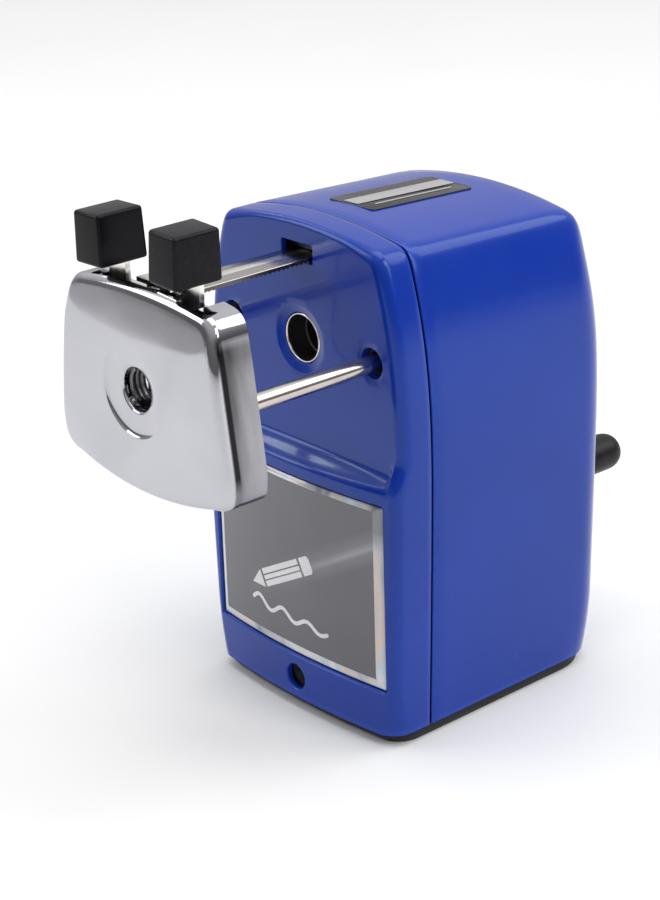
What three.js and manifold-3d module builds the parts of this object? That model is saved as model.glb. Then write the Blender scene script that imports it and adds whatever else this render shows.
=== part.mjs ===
// A hand-cranked desk pencil sharpener.
//
// The painted housing stands on a black base. A chromed clamp slides out of its front on two rods and a
// latch rail, holds the pencil between two sprung jaws and feeds it to the cutter. The crank at the back
// carries the cutter round the pencil, and a fixed toothed ring spins the cutter. Shavings fall into a
// drawer.
//
// Millimetres. +X is to the right seen from the front, +Y runs from the front to the back, +Z is up.
// Below, y = 0 is the front of the drawer; the last lines move the model so that the middle of the
// housing's underside is the origin.
import * as THREE from "three";
import { mergeVertices } from "three/addons/utils/BufferGeometryUtils.js";
import { RoundedBoxGeometry } from "three/addons/geometries/RoundedBoxGeometry.js";
import Module from "manifold-3d";

const wasm = await Module();
wasm.setup();

// ---------------------------------------------------------------- driving dimensions
const GAP = 0.3; // between pieces that only rest on each other
const FIT = 0.15; // round a piece that is pressed or slid into another

// Housing
const BODY_DEPTH = 65.2;
const BODY_FOOT = 2.7; // height of the painted housing's lower edge
const WAIST_HEIGHT = 60; // where the housing is widest
const WAIST_HALF_WIDTH = 30.5;
const FOOT_HALF_WIDTH = 28.9;
const SHOULDER_HEIGHT = 99; // where the sides turn into the roof
const SHOULDER_HALF_WIDTH = 26.1;
const ROOF_HEIGHT = 107.8;
const ROOF_ARCH_RADIUS = 104;
const ROOF_CORNER_RADIUS = 6.5;
const ROOF_FALL = 0.04; // how much the cover's roof drops per millimetre towards the back
const SEAM = 12.3; // the front case ends here and the cover begins
const SEAM_GROOVE = 0.5;
const CASE_WALL = 2.2;
const COVER_WALL = 1.2;
const FRONT_BOW_RADIUS = 190; // the drawer front bulges forward by this radius
const DOCK_DEPTH = 4.5; // the upper front is set back by this much
const LEDGE_TOP = 60.6;
const LEDGE_FRONT = 57.2; // height of the ledge's front edge
const CASE_CORNER_RADIUS = 2.6;
const CASE_ROLL = 2; // how far the roof rolls down into the dock
const REAR_CORNER_RADIUS = 8;
const REAR_ROOF_RADIUS = 10.5;
const FOOT_CORNER_GROWTH = 4; // extra radius of the upright corners at the foot
const FOOT_CORNER_HEIGHT = 18;

// Where the pencil goes, and the parts about it
const PENCIL_HEIGHT = 82.8;
const GUIDE_OUTER_RADIUS = 5.4;
const GUIDE_BORE_RADIUS = 4.5;
const ROD_SPACING = 42.8;
const ROD_RADIUS = 1.8;
const BUSH_RADIUS = 3.05;
const RAIL = { width: 8.2, bottom: 99.8, top: 101.1, wall: 0.6 };
const RAIL_SLOT = { width: 9.3, bottom: 99.4, top: 103.1 };

// Feed carriage, pulled out
const CARRIAGE_TRAVEL = 30.6;
const PLATE_RIM = -27.2; // the back edge of the chromed cover
const PLATE_FRONT = -38; // its foremost point
const PLATE_WALL = 0.8;
const PLATE_CENTRE_HEIGHT = 82;
const DISH_RADIUS = 9;
const DISH_FLOOR = -36.7;
const PENCIL_HOLE_RADIUS = 4.4;
const LEVER_PLANE = -31.2; // front face of the lever strips
const LEVER_THICKNESS = 1.2;
const LEVER_PIVOT = { x: 11, z: 92 };
const CAP_SIZE = { x: 8, y: 10.8, z: 10.2 };
const CAP_TAPER = 0.05; // how much narrower a cap is at its top
const CAP_CENTRE = { x: 11.7, y: -32.2, z: 111.6 };

// Cutter and crank
const GEAR_MODULE = 0.8;
const RING_TEETH = 38;
const PINION_TEETH = 11;
const GEAR_PLANE = 17.8; // middle of the toothed ring
const GEAR_WIDTH = 5.4;
const CUTTER_TILT = THREE.MathUtils.degToRad(8.5);
const CUTTER_RADIUS = 5.2;
const CUTTER_LENGTH = 22;
const CRANK_RADIUS = 46.3;
const CRANK_ANGLE = THREE.MathUtils.degToRad(13); // from straight down, towards +X
const ARM_PLANE = 69.4; // front face of the crank arm
const ARM_THICKNESS = 2;
const KNOB_LENGTH = 16.2;
const KNOB_RADIUS = 4.2;

// Drawer and clamp socket
const DRAWER = { width: 52.4, bottom: 13.2, top: 54, depth: 47, wall: 1.5, front: 3 };
const CLAMP_HEIGHT = 7.4;
const CLAMP_BORE_RADIUS = 2.95;

// ---------------------------------------------------------------- materials
const material = (color, roughness, metalness) =>
  new THREE.MeshStandardMaterial({ color, roughness, metalness });
const bluePaint = () => material(0x1b36a8, 0.28, 0.1);
const chrome = () => material(0xd9dbe0, 0.08, 1);
const steel = () => material(0xb9b7b2, 0.25, 1);
const springSteel = () => material(0x8f8f92, 0.35, 1);
const blackPlastic = () => material(0x16161a, 0.45, 0);
const rubber = () => material(0x1c1c1e, 0.85, 0);
const cutterSteel = () => material(0x6f7175, 0.4, 1);
const clearPlastic = () => material(0x77737a, 0.12, 0);
const labelFilm = () => material(0x3a3733, 0.4, 0.2);
const zinc = () => material(0xa9a9a4, 0.4, 1);

// ---------------------------------------------------------------- geometry tools
const { cos, sin, sqrt, hypot, min, max, PI } = Math;
const root = new THREE.Group();
root.position.y = -BODY_DEPTH / 2;

function place(name, geometry, ownMaterial) {
  const mesh = new THREE.Mesh(geometry, ownMaterial);
  mesh.name = name;
  root.add(mesh);
  return mesh;
}

/** A manifold-3d solid from a three.js geometry. */
function solid(geometry) {
  const bare = geometry.clone();
  for (const name of Object.keys(bare.attributes)) {
    if (name !== "position") bare.deleteAttribute(name);
  }
  const merged = mergeVertices(bare, 1e-4);
  return new wasm.Manifold(
    new wasm.Mesh({
      numProp: 3,
      vertProperties: new Float32Array(merged.attributes.position.array),
      triVerts: new Uint32Array(merged.index.array),
    }),
  );
}

/** A three.js geometry from a manifold-3d solid. */
function surface(manifold) {
  const { vertProperties, triVerts } = manifold.getMesh();
  const geometry = new THREE.BufferGeometry();
  geometry.setAttribute("position", new THREE.BufferAttribute(vertProperties, 3));
  geometry.setIndex(new THREE.BufferAttribute(triVerts, 1));
  return geometry;
}

const unite = (first, ...others) => others.reduce((whole, next) => whole.add(next), first);
const cut = (first, ...others) => others.reduce((rest, next) => rest.subtract(next), first);

const outline = (points) => new THREE.Shape(points.map(([a, b]) => new THREE.Vector2(a, b)));

/** Rows of matching closed rings, joined into one closed solid. Each ring is a list of [x, y, z]. */
function loft(rings, flat) {
  const count = rings[0].length;
  const triangles = [];
  for (let r = 0; r + 1 < rings.length; r++) {
    for (let i = 0; i < count; i++) {
      const a = r * count + i;
      const b = r * count + ((i + 1) % count);
      triangles.push(a, b, b + count, a, b + count, a + count);
    }
  }
  const lids = THREE.ShapeUtils.triangulateShape(rings[0].map((p) => new THREE.Vector2(...flat(p))), []);
  const last = (rings.length - 1) * count;
  for (const [a, b, c] of lids) triangles.push(a, c, b);
  const far = THREE.ShapeUtils.triangulateShape(rings.at(-1).map((p) => new THREE.Vector2(...flat(p))), []);
  for (const [a, b, c] of far) triangles.push(last + a, last + b, last + c);
  const geometry = new THREE.BufferGeometry();
  geometry.setAttribute("position", new THREE.Float32BufferAttribute(rings.flat(2), 3));
  geometry.setIndex(triangles);
  return facingOut(geometry);
}

/** Turns the triangles round if they face in. */
function facingOut(geometry) {
  const { position } = geometry.attributes;
  const index = geometry.index.array;
  const corner = [new THREE.Vector3(), new THREE.Vector3(), new THREE.Vector3()];
  let volume = 0;
  for (let i = 0; i < index.length; i += 3) {
    corner.forEach((c, k) => c.fromBufferAttribute(position, index[i + k]));
    volume += corner[0].dot(corner[1].clone().cross(corner[2]));
  }
  if (volume < 0) for (let i = 0; i < index.length; i += 3) [index[i], index[i + 1]] = [index[i + 1], index[i]];
  return geometry;
}

const extrude = (shape, depth) => new THREE.ExtrudeGeometry(shape, { depth, bevelEnabled: false });

/** An upright outline [x, z] made solid from y0 to y1. */
const alongY = (points, y0, y1) => extrude(outline(points), y1 - y0).rotateX(PI / 2).translate(0, y1, 0);

/** A floor outline [x, y] made solid from z0 to z1. */
const alongZ = (points, z0, z1) => extrude(outline(points), z1 - z0).translate(0, 0, z0);

/** A side outline [y, z] made solid from x0 to x1. */
const alongX = (points, x0, x1) =>
  extrude(outline(points), x1 - x0).rotateX(PI / 2).rotateZ(PI / 2).translate(x0, 0, 0);

const box = (x0, x1, y0, y1, z0, z1) =>
  new THREE.BoxGeometry(x1 - x0, y1 - y0, z1 - z0).translate((x0 + x1) / 2, (y0 + y1) / 2, (z0 + z1) / 2);

const rectangle = (x0, x1, z0, z1) => [[x0, z0], [x1, z0], [x1, z1], [x0, z1]];

/** A rod along Y with its axis through (x, z). */
const rodY = (radius, y0, y1, x = 0, z = PENCIL_HEIGHT, sides = 24) =>
  new THREE.CylinderGeometry(radius, radius, y1 - y0, sides).translate(x, (y0 + y1) / 2, z);

const rodZ = (radius, z0, z1, x, y, sides = 20) =>
  new THREE.CylinderGeometry(radius, radius, z1 - z0, sides).rotateX(PI / 2).translate(x, y, (z0 + z1) / 2);

/** A profile of [radius, y] pairs turned about the axis through (x, z) along Y. */
const turned = (profile, x = 0, z = PENCIL_HEIGHT, sides = 24) =>
  facingOut(
    mergeVertices(
      withoutExtras(new THREE.LatheGeometry(profile.map(([r, y]) => new THREE.Vector2(r, y)), sides)), 1e-4,
    ).translate(x, 0, z),
  );

function withoutExtras(geometry) {
  geometry.deleteAttribute("normal");
  geometry.deleteAttribute("uv");
  return geometry;
}

/** A closed tube profile for turned(). */
const tubeProfile = (inner, outer, y0, y1) => [[inner, y0], [outer, y0], [outer, y1], [inner, y1], [inner, y0]];

/** A coil spring of round wire about +Y, from y = 0 to its length. */
function coil(radius, wire, length, turns) {
  class Helix extends THREE.Curve {
    getPoint(t) {
      const angle = 2 * PI * turns * t;
      return new THREE.Vector3(radius * cos(angle), wire + (length - 2 * wire) * t, radius * sin(angle));
    }
  }
  const section = outline([[wire, 0], [0, wire], [-wire, 0], [0, -wire]]);
  return new THREE.ExtrudeGeometry(section, { steps: turns * 9, extrudePath: new Helix(), bevelEnabled: false });
}

// ---------------------------------------------------------------- the housing's form
/** Half the housing's width at a height. */
function halfWidth(z) {
  if (z < WAIST_HEIGHT) {
    return WAIST_HALF_WIDTH - (WAIST_HALF_WIDTH - FOOT_HALF_WIDTH) * ((WAIST_HEIGHT - z) / WAIST_HEIGHT) ** 1.3;
  }
  const above = (z - WAIST_HEIGHT) / (SHOULDER_HEIGHT - WAIST_HEIGHT);
  return WAIST_HALF_WIDTH - (WAIST_HALF_WIDTH - SHOULDER_HALF_WIDTH) * above ** 2.6;
}

const roofHeight = (x) => ROOF_HEIGHT - x ** 2 / (2 * ROOF_ARCH_RADIUS);
const footGrowth = (z) => FOOT_CORNER_GROWTH * max(0, 1 - z / FOOT_CORNER_HEIGHT) ** 2;
const SIDE_LEVELS = [6, 12, 18, 36, 50, 60, 70, 80, 88, 94, SHOULDER_HEIGHT];

/** The right half of the roof's edge, from the shoulder to the middle, as [x, z]. */
function roofHalf(inset) {
  const steps = 5;
  const start = [halfWidth(SHOULDER_HEIGHT) - inset, SHOULDER_HEIGHT];
  const arcEnd = halfWidth(SHOULDER_HEIGHT) - ROOF_CORNER_RADIUS - 0.8 * inset;
  const end = [arcEnd, roofHeight(arcEnd) - inset];
  const elbow = [start[0] - 0.9, end[1] - 0.1];
  const points = [];
  for (let i = 1; i <= steps; i++) {
    const t = i / steps;
    const [u, v, w] = [(1 - t) ** 2, 2 * t * (1 - t), t ** 2];
    points.push([u * start[0] + v * elbow[0] + w * end[0], u * start[1] + v * elbow[1] + w * end[1]]);
  }
  for (const share of [0.66, 0.33]) {
    const x = arcEnd * share;
    points.push([x, roofHeight(x) - inset]);
  }
  return points;
}

/** The housing's upright outline, as [x, z], anticlockwise from the lower left. */
function bodyOutline(inset, foot = BODY_FOOT) {
  const side = [foot, ...SIDE_LEVELS].map((z) => [halfWidth(z) - inset, z]);
  const right = [...side, ...roofHalf(inset)];
  const left = right.map(([x, z]) => [-x, z]).reverse();
  return [...right, [0, roofHeight(0) - inset], ...left];
}

// ---------------------------------------------------------------- front case
/** How far back the front face lies at (x, z): the bowed drawer front, the ledge and the flat dock. */
function frontFace(x, z) {
  const bow = x ** 2 / (2 * FRONT_BOW_RADIUS);
  const rise = THREE.MathUtils.clamp((z - LEDGE_FRONT) / (LEDGE_TOP - LEDGE_FRONT), 0, 1);
  return bow + (DOCK_DEPTH - bow) * rise;
}

/** The case's plan at a height, with round upright corners, as [x, y, z]. */
function casePlan(z, inset, back) {
  const half = halfWidth(z) - inset;
  const radius = max(0.5, CASE_CORNER_RADIUS + footGrowth(z) - inset * 0.8);
  const right = [];
  for (let i = 0; i <= 4; i++) {
    const x = ((half - radius) * i) / 4;
    right.push([x, frontFace(x, z) + inset, z]);
  }
  const corner = frontFace(half - radius, z) + inset;
  for (let i = 1; i <= 4; i++) {
    const angle = (i * PI) / 8;
    right.push([half - radius + radius * sin(angle), corner + radius * (1 - cos(angle)), z]);
  }
  right.push([half, back, z]);
  const left = right.slice(1).map(([x, y]) => [-x, y, z]).reverse();
  return [...left, ...right];
}

const CASE_LEVELS = [6, 12, 18, 36, 50, LEDGE_FRONT, LEDGE_TOP, 70, 80, 88, 94, SHOULDER_HEIGHT, 108];

function caseForm(inset, foot, back) {
  const levels = [foot, ...CASE_LEVELS];
  const upright = solid(loft(levels.map((z) => casePlan(z, inset, back)), ([x, y]) => [x, y]));
  // The roof's outline shrinks towards the dock, which rolls the roof's front edge.
  const section = (y) => {
    const into = THREE.MathUtils.clamp(CASE_ROLL - (y - DOCK_DEPTH), 0, CASE_ROLL);
    const shrink = inset + CASE_ROLL - sqrt(CASE_ROLL ** 2 - into ** 2);
    const shoulder = halfWidth(SHOULDER_HEIGHT) - shrink;
    const right = [[45, foot - 1], [45, 88], [shoulder, SHOULDER_HEIGHT], ...roofHalf(shrink)];
    const left = right.map(([x, z]) => [-x, z]).reverse();
    return [...right, [0, roofHeight(0) - shrink], ...left].map(([x, z]) => [x, y, z]);
  };
  const depths = inset > 0 ? [-6, 6, 30] : [-6, 4.5, 4.6, 4.9, 5.5, 6.5, 30];
  return upright.intersect(solid(loft(depths.map(section), ([x, , z]) => [x, z])));
}

function makeFrontCase() {
  const back = SEAM - SEAM_GROOVE / 2;
  let shell = cut(caseForm(0, BODY_FOOT, back), caseForm(CASE_WALL, 0.5, back + 1));
  // A lip slides into the cover and darkens the seam.
  const lipOuter = COVER_WALL + GAP;
  const lip = cut(
    solid(alongY(bodyOutline(lipOuter, 5), back - 2.5, back + 4)),
    solid(alongY(bodyOutline(lipOuter + 1.2, 4), back - 3, back + 5)),
    solid(box(-26, 26, back - 4, back + 6, 0, 12)),
  );
  shell = shell.add(lip);
  const bosses = [-1, 1].flatMap((side) => [
    solid(rodY(4.6, 5.5, 12, (side * ROD_SPACING) / 2)),
    solid(rodZ(3.4, 3.3, 12, side * 23.4, 9)),
    solid(box(side > 0 ? 23.4 : -28.2, side > 0 ? 28.2 : -23.4, 6.5, 11.5, 3.3, 12)),
  ]);
  const posts = RING_SCREWS.map(([x, z]) => solid(rodY(2.6, 5.5, 13.1, x, z, 14)));
  shell = unite(shell, ...bosses, ...posts, solid(rodY(7.4, 5.5, 12)));
  const half = DRAWER.width / 2 + GAP;
  return cut(
    shell,
    solid(box(-half, half, -2, back + 6, DRAWER.bottom - GAP, DRAWER.top + GAP)),
    solid(rodY(CLAMP_BORE_RADIUS, -2, 8, 0, CLAMP_HEIGHT)),
    solid(rodY(GUIDE_OUTER_RADIUS + FIT, 3, 14)),
    solid(turned([[0, 4], [7.3, 4], [7.3, DOCK_DEPTH], [6.2, 5.1], [0, 5.1]])),
    ...[-1, 1].map((side) => solid(rodY(BUSH_RADIUS + FIT, 3, 14, (side * ROD_SPACING) / 2))),
    ...[-1, 1].map((side) => solid(rodZ(1.55, 2, 9.5, side * 23.4, 9, 14))),
    ...RING_SCREWS.map(([x, z]) => solid(rodY(1.25, 9, 14, x, z, 12))),
    solid(box(-RAIL_SLOT.width / 2, RAIL_SLOT.width / 2, 3, 9, RAIL_SLOT.bottom, RAIL_SLOT.top)),
  );
}

// ---------------------------------------------------------------- cover
/** The cover's upright section at a depth: the sides and roof turn in towards the back. */
function coverSection(y, wall) {
  const back = BODY_DEPTH - wall;
  const turnIn = (z, corner = REAR_CORNER_RADIUS) => {
    const radius = corner + footGrowth(z) - wall;
    const into = y - (back - radius);
    return into <= 0 ? 0 : radius - sqrt(max(0, radius ** 2 - into ** 2));
  };
  const fall = (z) => ROOF_FALL * max(0, y - SEAM) * THREE.MathUtils.smoothstep(z, 70, SHOULDER_HEIGHT);
  const foot = wall > 0 ? 0.5 : BODY_FOOT;
  const side = [foot, ...SIDE_LEVELS].map((z) => [halfWidth(z) - wall - turnIn(z), z]);
  const inward = turnIn(SHOULDER_HEIGHT, REAR_ROOF_RADIUS);
  const shrink = 1 - turnIn(SHOULDER_HEIGHT) / halfWidth(SHOULDER_HEIGHT);
  const roof = roofHalf(wall).map(([x, z]) => [x * shrink, z - inward]);
  // The upper sides follow the roof down, so that no section folds over itself.
  const shoulder = SHOULDER_HEIGHT - WAIST_HEIGHT;
  const drop = (z) => 0.9 * inward * (max(0, z - WAIST_HEIGHT) / shoulder) ** 1.7;
  const right = [...side.map(([x, z]) => [x, z - drop(z)]), ...roof];
  const left = right.map(([x, z]) => [-x, z]).reverse();
  return [...right, [0, roofHeight(0) - wall - inward], ...left].map(([x, z]) => [x, y, z - fall(z)]);
}

function coverForm(wall, front) {
  const back = BODY_DEPTH - wall;
  const radius = REAR_CORNER_RADIUS - wall;
  const foot = radius + FOOT_CORNER_GROWTH;
  const depths = [front, 30, back - foot];
  for (const angle of [0, 22, 40, 56, 70, 82, 90]) {
    depths.push(back - radius + radius * sin(THREE.MathUtils.degToRad(angle)));
  }
  return solid(loft(depths.map((y) => coverSection(y, wall)), ([x, , z]) => [x, z]));
}

const FLANGE_HOLE_RADIUS = 16.2;
const REAR_SCREW = { x: 21, y: 52 };

function makeCover() {
  const front = SEAM + SEAM_GROOVE / 2;
  const shell = cut(coverForm(0, front), coverForm(COVER_WALL, front - 1));
  const tabs = [-1, 1].map((side) => {
    const [inner, outer] = [side * (REAR_SCREW.x - 4), side * (halfWidth(4) - 0.6)];
    return solid(box(min(inner, outer), max(inner, outer), REAR_SCREW.y - 4, REAR_SCREW.y + 4, 3.5, 5));
  });
  return cut(
    unite(shell, ...tabs),
    solid(rodY(FLANGE_HOLE_RADIUS, BODY_DEPTH - 8, BODY_DEPTH + 2, 0, PENCIL_HEIGHT, 36)),
    ...[-1, 1].map((side) => solid(rodZ(1.55, 3, 6, side * REAR_SCREW.x, REAR_SCREW.y, 14))),
  );
}

// ---------------------------------------------------------------- base
/** The housing's floor outline, as [x, y], pulled in by an inset; the front may be pulled in further. */
function floorOutline(inset, frontInset = inset) {
  const z = BODY_FOOT;
  const half = halfWidth(z) - inset;
  const front = CASE_CORNER_RADIUS + FOOT_CORNER_GROWTH - inset;
  const rear = REAR_CORNER_RADIUS + FOOT_CORNER_GROWTH - inset;
  const right = [];
  for (let i = 0; i <= 4; i++) {
    const x = ((half - front) * i) / 4;
    right.push([x, x ** 2 / (2 * FRONT_BOW_RADIUS) + frontInset]);
  }
  const corner = right.at(-1)[1];
  for (let i = 1; i <= 5; i++) {
    const angle = (i * PI) / 10;
    right.push([half - front + front * sin(angle), corner + front * (1 - cos(angle))]);
  }
  const back = BODY_DEPTH - inset;
  for (let i = 0; i <= 6; i++) {
    const angle = (i * PI) / 12;
    right.push([half - rear + rear * cos(angle), back - rear + rear * sin(angle)]);
  }
  const left = right.slice(1).map(([x, y]) => [-x, y]).reverse();
  return [...right, ...left];
}

const BASE_SCREWS = [
  ["base_screw_front_left", -23.4, 9],
  ["base_screw_front_right", 23.4, 9],
  ["base_screw_rear_left", -REAR_SCREW.x, REAR_SCREW.y],
  ["base_screw_rear_right", REAR_SCREW.x, REAR_SCREW.y],
];
const SOLE_THICKNESS = 1.2;

function makeBase() {
  const holes = (radius) => BASE_SCREWS.map(([, x, y]) => solid(rodZ(radius, -1, 6, x, y, 18)));
  const runners = [-1, 1].map((side) => (
    solid(box(side * 18 - 1.2, side * 18 + 1.2, 6, 46, 3, DRAWER.bottom - GAP))
  ));
  const plate = unite(
    solid(alongZ(floorOutline(0.7, 1.2), SOLE_THICKNESS, BODY_FOOT - 0.05)),
    solid(alongZ(floorOutline(CASE_WALL + GAP + 0.3), SOLE_THICKNESS + 0.2, 3.1)),
    ...runners,
  );
  place("base_plate", surface(cut(plate, ...holes(1.7))), blackPlastic());
  const sole = solid(alongZ(floorOutline(0.9, 2.4), 0, SOLE_THICKNESS));
  place("rubber_sole", surface(cut(sole, ...holes(3.6))), rubber());
  for (const [name, x, y] of BASE_SCREWS) {
    const top = y < 20 ? 9 : 6.5;
    const screw = unite(solid(rodZ(1.4, 0.9, top, x, y, 14)), solid(rodZ(2.9, 0.4, SOLE_THICKNESS, x, y, 18)));
    const slot = solid(box(x - 3, x + 3, y - 0.4, y + 0.4, 0, 0.75));
    place(name, surface(cut(screw, slot)), zinc());
  }
  const end = 36;
  const bore = rodY(CLAMP_BORE_RADIUS, 0, end - 1.5, 0, CLAMP_HEIGHT);
  const tube = cut(solid(rodY(4.1, CASE_WALL + GAP, end, 0, CLAMP_HEIGHT)), solid(bore));
  place("clamp_socket", surface(tube), zinc());
}

// ---------------------------------------------------------------- guides in the front case
const RING_SCREWS = [30, 150, 270].map((degrees) => {
  const angle = THREE.MathUtils.degToRad(degrees);
  return [12.2 * cos(angle), PENCIL_HEIGHT + 12.2 * sin(angle)];
});

function makeGuides() {
  const bush = turned([
    [GUIDE_BORE_RADIUS, 5.4], [GUIDE_OUTER_RADIUS - 0.3, 4.7], [GUIDE_OUTER_RADIUS, 4.9],
    [GUIDE_OUTER_RADIUS, 23.4], [GUIDE_BORE_RADIUS, 23.4], [GUIDE_BORE_RADIUS, 5.4],
  ], 0, PENCIL_HEIGHT, 32);
  place("pencil_guide_bush", bush, steel());
  for (const [side, word] of [[-1, "left"], [1, "right"]]) {
    const x = (side * ROD_SPACING) / 2;
    const sleeve = turned(tubeProfile(ROD_RADIUS + 0.1, BUSH_RADIUS, 5.4, 16), x);
    place(`rod_bush_${word}`, sleeve, blackPlastic());
    const spring = coil(2.35, 0.35, 12, 6).translate(x, 16.6, PENCIL_HEIGHT);
    place(`feed_spring_${word}`, spring, springSteel());
  }
  const guide = cut(
    solid(box(-6.8, 6.8, 7.1, 12.8, 98, 104.2)),
    solid(box(-RAIL.width / 2 - 0.3, RAIL.width / 2 + 0.3, 6, 14, RAIL.bottom - 0.2, RAIL.top + 0.2)),
  );
  place("rail_guide", surface(guide), blackPlastic());
  const leaf = [[7.6, 104.5], [13.2, 104.5], [17.3, 101.45], [19, 101.45], [23.2, 104], [23, 104.4],
    [18.9, 101.9], [17.4, 101.9], [13.4, 104.95], [7.6, 104.95]];
  place("rail_latch_spring", alongX(leaf, -2.4, 2.4), springSteel());
}

// ---------------------------------------------------------------- gears and cutter
/** A toothed outline about the origin, with the middle between two teeth straight down. */
function gearOutline(teeth, innerRadius, outerRadius, footShare, tipShare) {
  const points = [];
  const pitch = (2 * PI) / teeth;
  for (let i = 0; i < teeth; i++) {
    const centre = (i + 0.5) * pitch - PI / 2;
    const half = pitch / 2;
    for (const [radius, angle] of [
      [innerRadius, -footShare * half], [outerRadius, -tipShare * half],
      [outerRadius, tipShare * half], [innerRadius, footShare * half],
    ]) {
      points.push([radius * cos(centre + angle), radius * sin(centre + angle)]);
    }
  }
  return points;
}

const RING_PITCH_RADIUS = (GEAR_MODULE * RING_TEETH) / 2;
const PINION_PITCH_RADIUS = (GEAR_MODULE * PINION_TEETH) / 2;
const SPINDLE_OFFSET = RING_PITCH_RADIUS - PINION_PITCH_RADIUS; // at the gear plane
const RING_OUTER_RADIUS = 16.7;

function makeRing() {
  const y0 = GEAR_PLANE - GEAR_WIDTH / 2;
  const y1 = GEAR_PLANE + GEAR_WIDTH / 2;
  // The hollow that leaves the ring's teeth standing is itself a gear outline.
  const hollow = gearOutline(RING_TEETH, RING_PITCH_RADIUS - 0.55, RING_PITCH_RADIUS + 0.75, 0.78, 0.46);
  const ring = cut(
    unite(solid(rodY(RING_OUTER_RADIUS, y0 - 2, y1, 0, PENCIL_HEIGHT, 48))),
    solid(alongY(hollow.map(([x, z]) => [x, z + PENCIL_HEIGHT]), y0, y1 + 1)),
    solid(rodY(GUIDE_OUTER_RADIUS + FIT, y0 - 4, y0 + 1)),
    solid(box(-20, 20, 0, 40, PENCIL_HEIGHT + 16.4, 120)),
    ...RING_SCREWS.map(([x, z]) => solid(rodY(2.5, y0 - 1.1, y0 + 1, x, z, 16))),
    ...RING_SCREWS.map(([x, z]) => solid(rodY(1.4, y0 - 4, y0 + 1, x, z, 12))),
  );
  place("gear_ring", surface(ring), zinc());
  RING_SCREWS.forEach(([x, z], i) => {
    const screw = unite(
      solid(rodY(2.3, y0 - 1, y0 - 0.1, x, z, 16)),
      solid(rodY(1.1, y0 - 6, y0 - 0.5, x, z, 12)),
    );
    const slot = solid(box(x - 3, x + 3, y0 - 0.5, y0, z - 0.3, z + 0.3));
    place(`gear_ring_screw_${i + 1}`, surface(cut(screw, slot)), zinc());
  });
}

/** Moves a piece made about the Y axis onto the tilted cutter spindle, gear plane at y = 0. */
function onSpindle(geometry) {
  return geometry.rotateX(CUTTER_TILT).translate(0, GEAR_PLANE, PENCIL_HEIGHT - SPINDLE_OFFSET);
}

function makeCutter() {
  // The cutter lies under the pencil and rises towards the back, where the point is.
  const teeth = 9;
  const rings = [];
  const levels = 9;
  for (let k = 0; k <= levels; k++) {
    const y = 7.4 + (CUTTER_LENGTH * k) / levels;
    const twist = (k / levels) * 1.5;
    const ring = [];
    for (let i = 0; i < teeth; i++) {
      for (const [offset, depth] of [[0, 0], [0.22, 0.25], [0.6, 1.2]]) {
        const radius = CUTTER_RADIUS - depth;
        const angle = twist + ((i + offset) * 2 * PI) / teeth;
        ring.push([radius * cos(angle), y, radius * sin(angle)]);
      }
    }
    rings.push(ring);
  }
  const body = loft(rings, ([x, , z]) => [x, z]);
  const bore = rodY(1.5 + FIT, 0, 40, 0, 0, 16);
  place("helical_cutter", onSpindle(surface(cut(solid(body), solid(bore)))), cutterSteel());
  const width = 3.2;
  const [footRadius, tipRadius] = [PINION_PITCH_RADIUS - 1, PINION_PITCH_RADIUS + 0.35];
  const teethOutline = gearOutline(PINION_TEETH, footRadius, tipRadius, 0.56, 0.2);
  const gear = cut(solid(alongY(teethOutline, -width / 2, width / 2)), solid(rodY(1.5 + FIT, -5, 5, 0, 0, 16)));
  place("cutter_pinion", onSpindle(surface(gear)), zinc());
  place("cutter_spindle", onSpindle(rodY(1.5, -1.9, 33.4, 0, 0, 16)), steel());
}

const CARRIER = { front: 21, frontEnd: 24, rear: 47.6, rearEnd: 51.2, radius: 14 };

function makeCarrier() {
  const spindle = onSpindle(rodY(1.5 + FIT, -4, 40, 0, 0, 16));
  const cutterRoom = onSpindle(rodY(CUTTER_RADIUS + 0.5, 6.6, 30.2, 0, 0, 24));
  const pencilRoom = turned([[0, 10], [4.3, 10], [4.3, 24], [0, 49.8]]);
  const blank = unite(
    solid(rodY(CARRIER.radius, CARRIER.front, CARRIER.frontEnd, 0, PENCIL_HEIGHT, 32)),
    solid(rodY(CARRIER.radius, CARRIER.rear, CARRIER.rearEnd, 0, PENCIL_HEIGHT, 32)),
    solid(rodY(7, CARRIER.rear, 56.5, 0, PENCIL_HEIGHT, 28)),
    solid(alongY([[-9, 4], [9, 4], [11.6, 7], [8, 11.2], [-8, 11.2], [-11.6, 7]]
      .map(([x, z]) => [x, z + PENCIL_HEIGHT]), CARRIER.front, CARRIER.rearEnd)),
  );
  const carrier = cut(
    blank,
    solid(rodY(GUIDE_OUTER_RADIUS + 0.2, 18, 23.7)),
    solid(pencilRoom),
    solid(spindle),
    solid(cutterRoom),
    solid(rodY(4 + FIT, 52, 60)),
  );
  place("cutter_carrier", surface(carrier), blackPlastic());
}

// ---------------------------------------------------------------- crank
const KNOB_X = CRANK_RADIUS * sin(CRANK_ANGLE);
const KNOB_Z = PENCIL_HEIGHT - CRANK_RADIUS * cos(CRANK_ANGLE);

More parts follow.
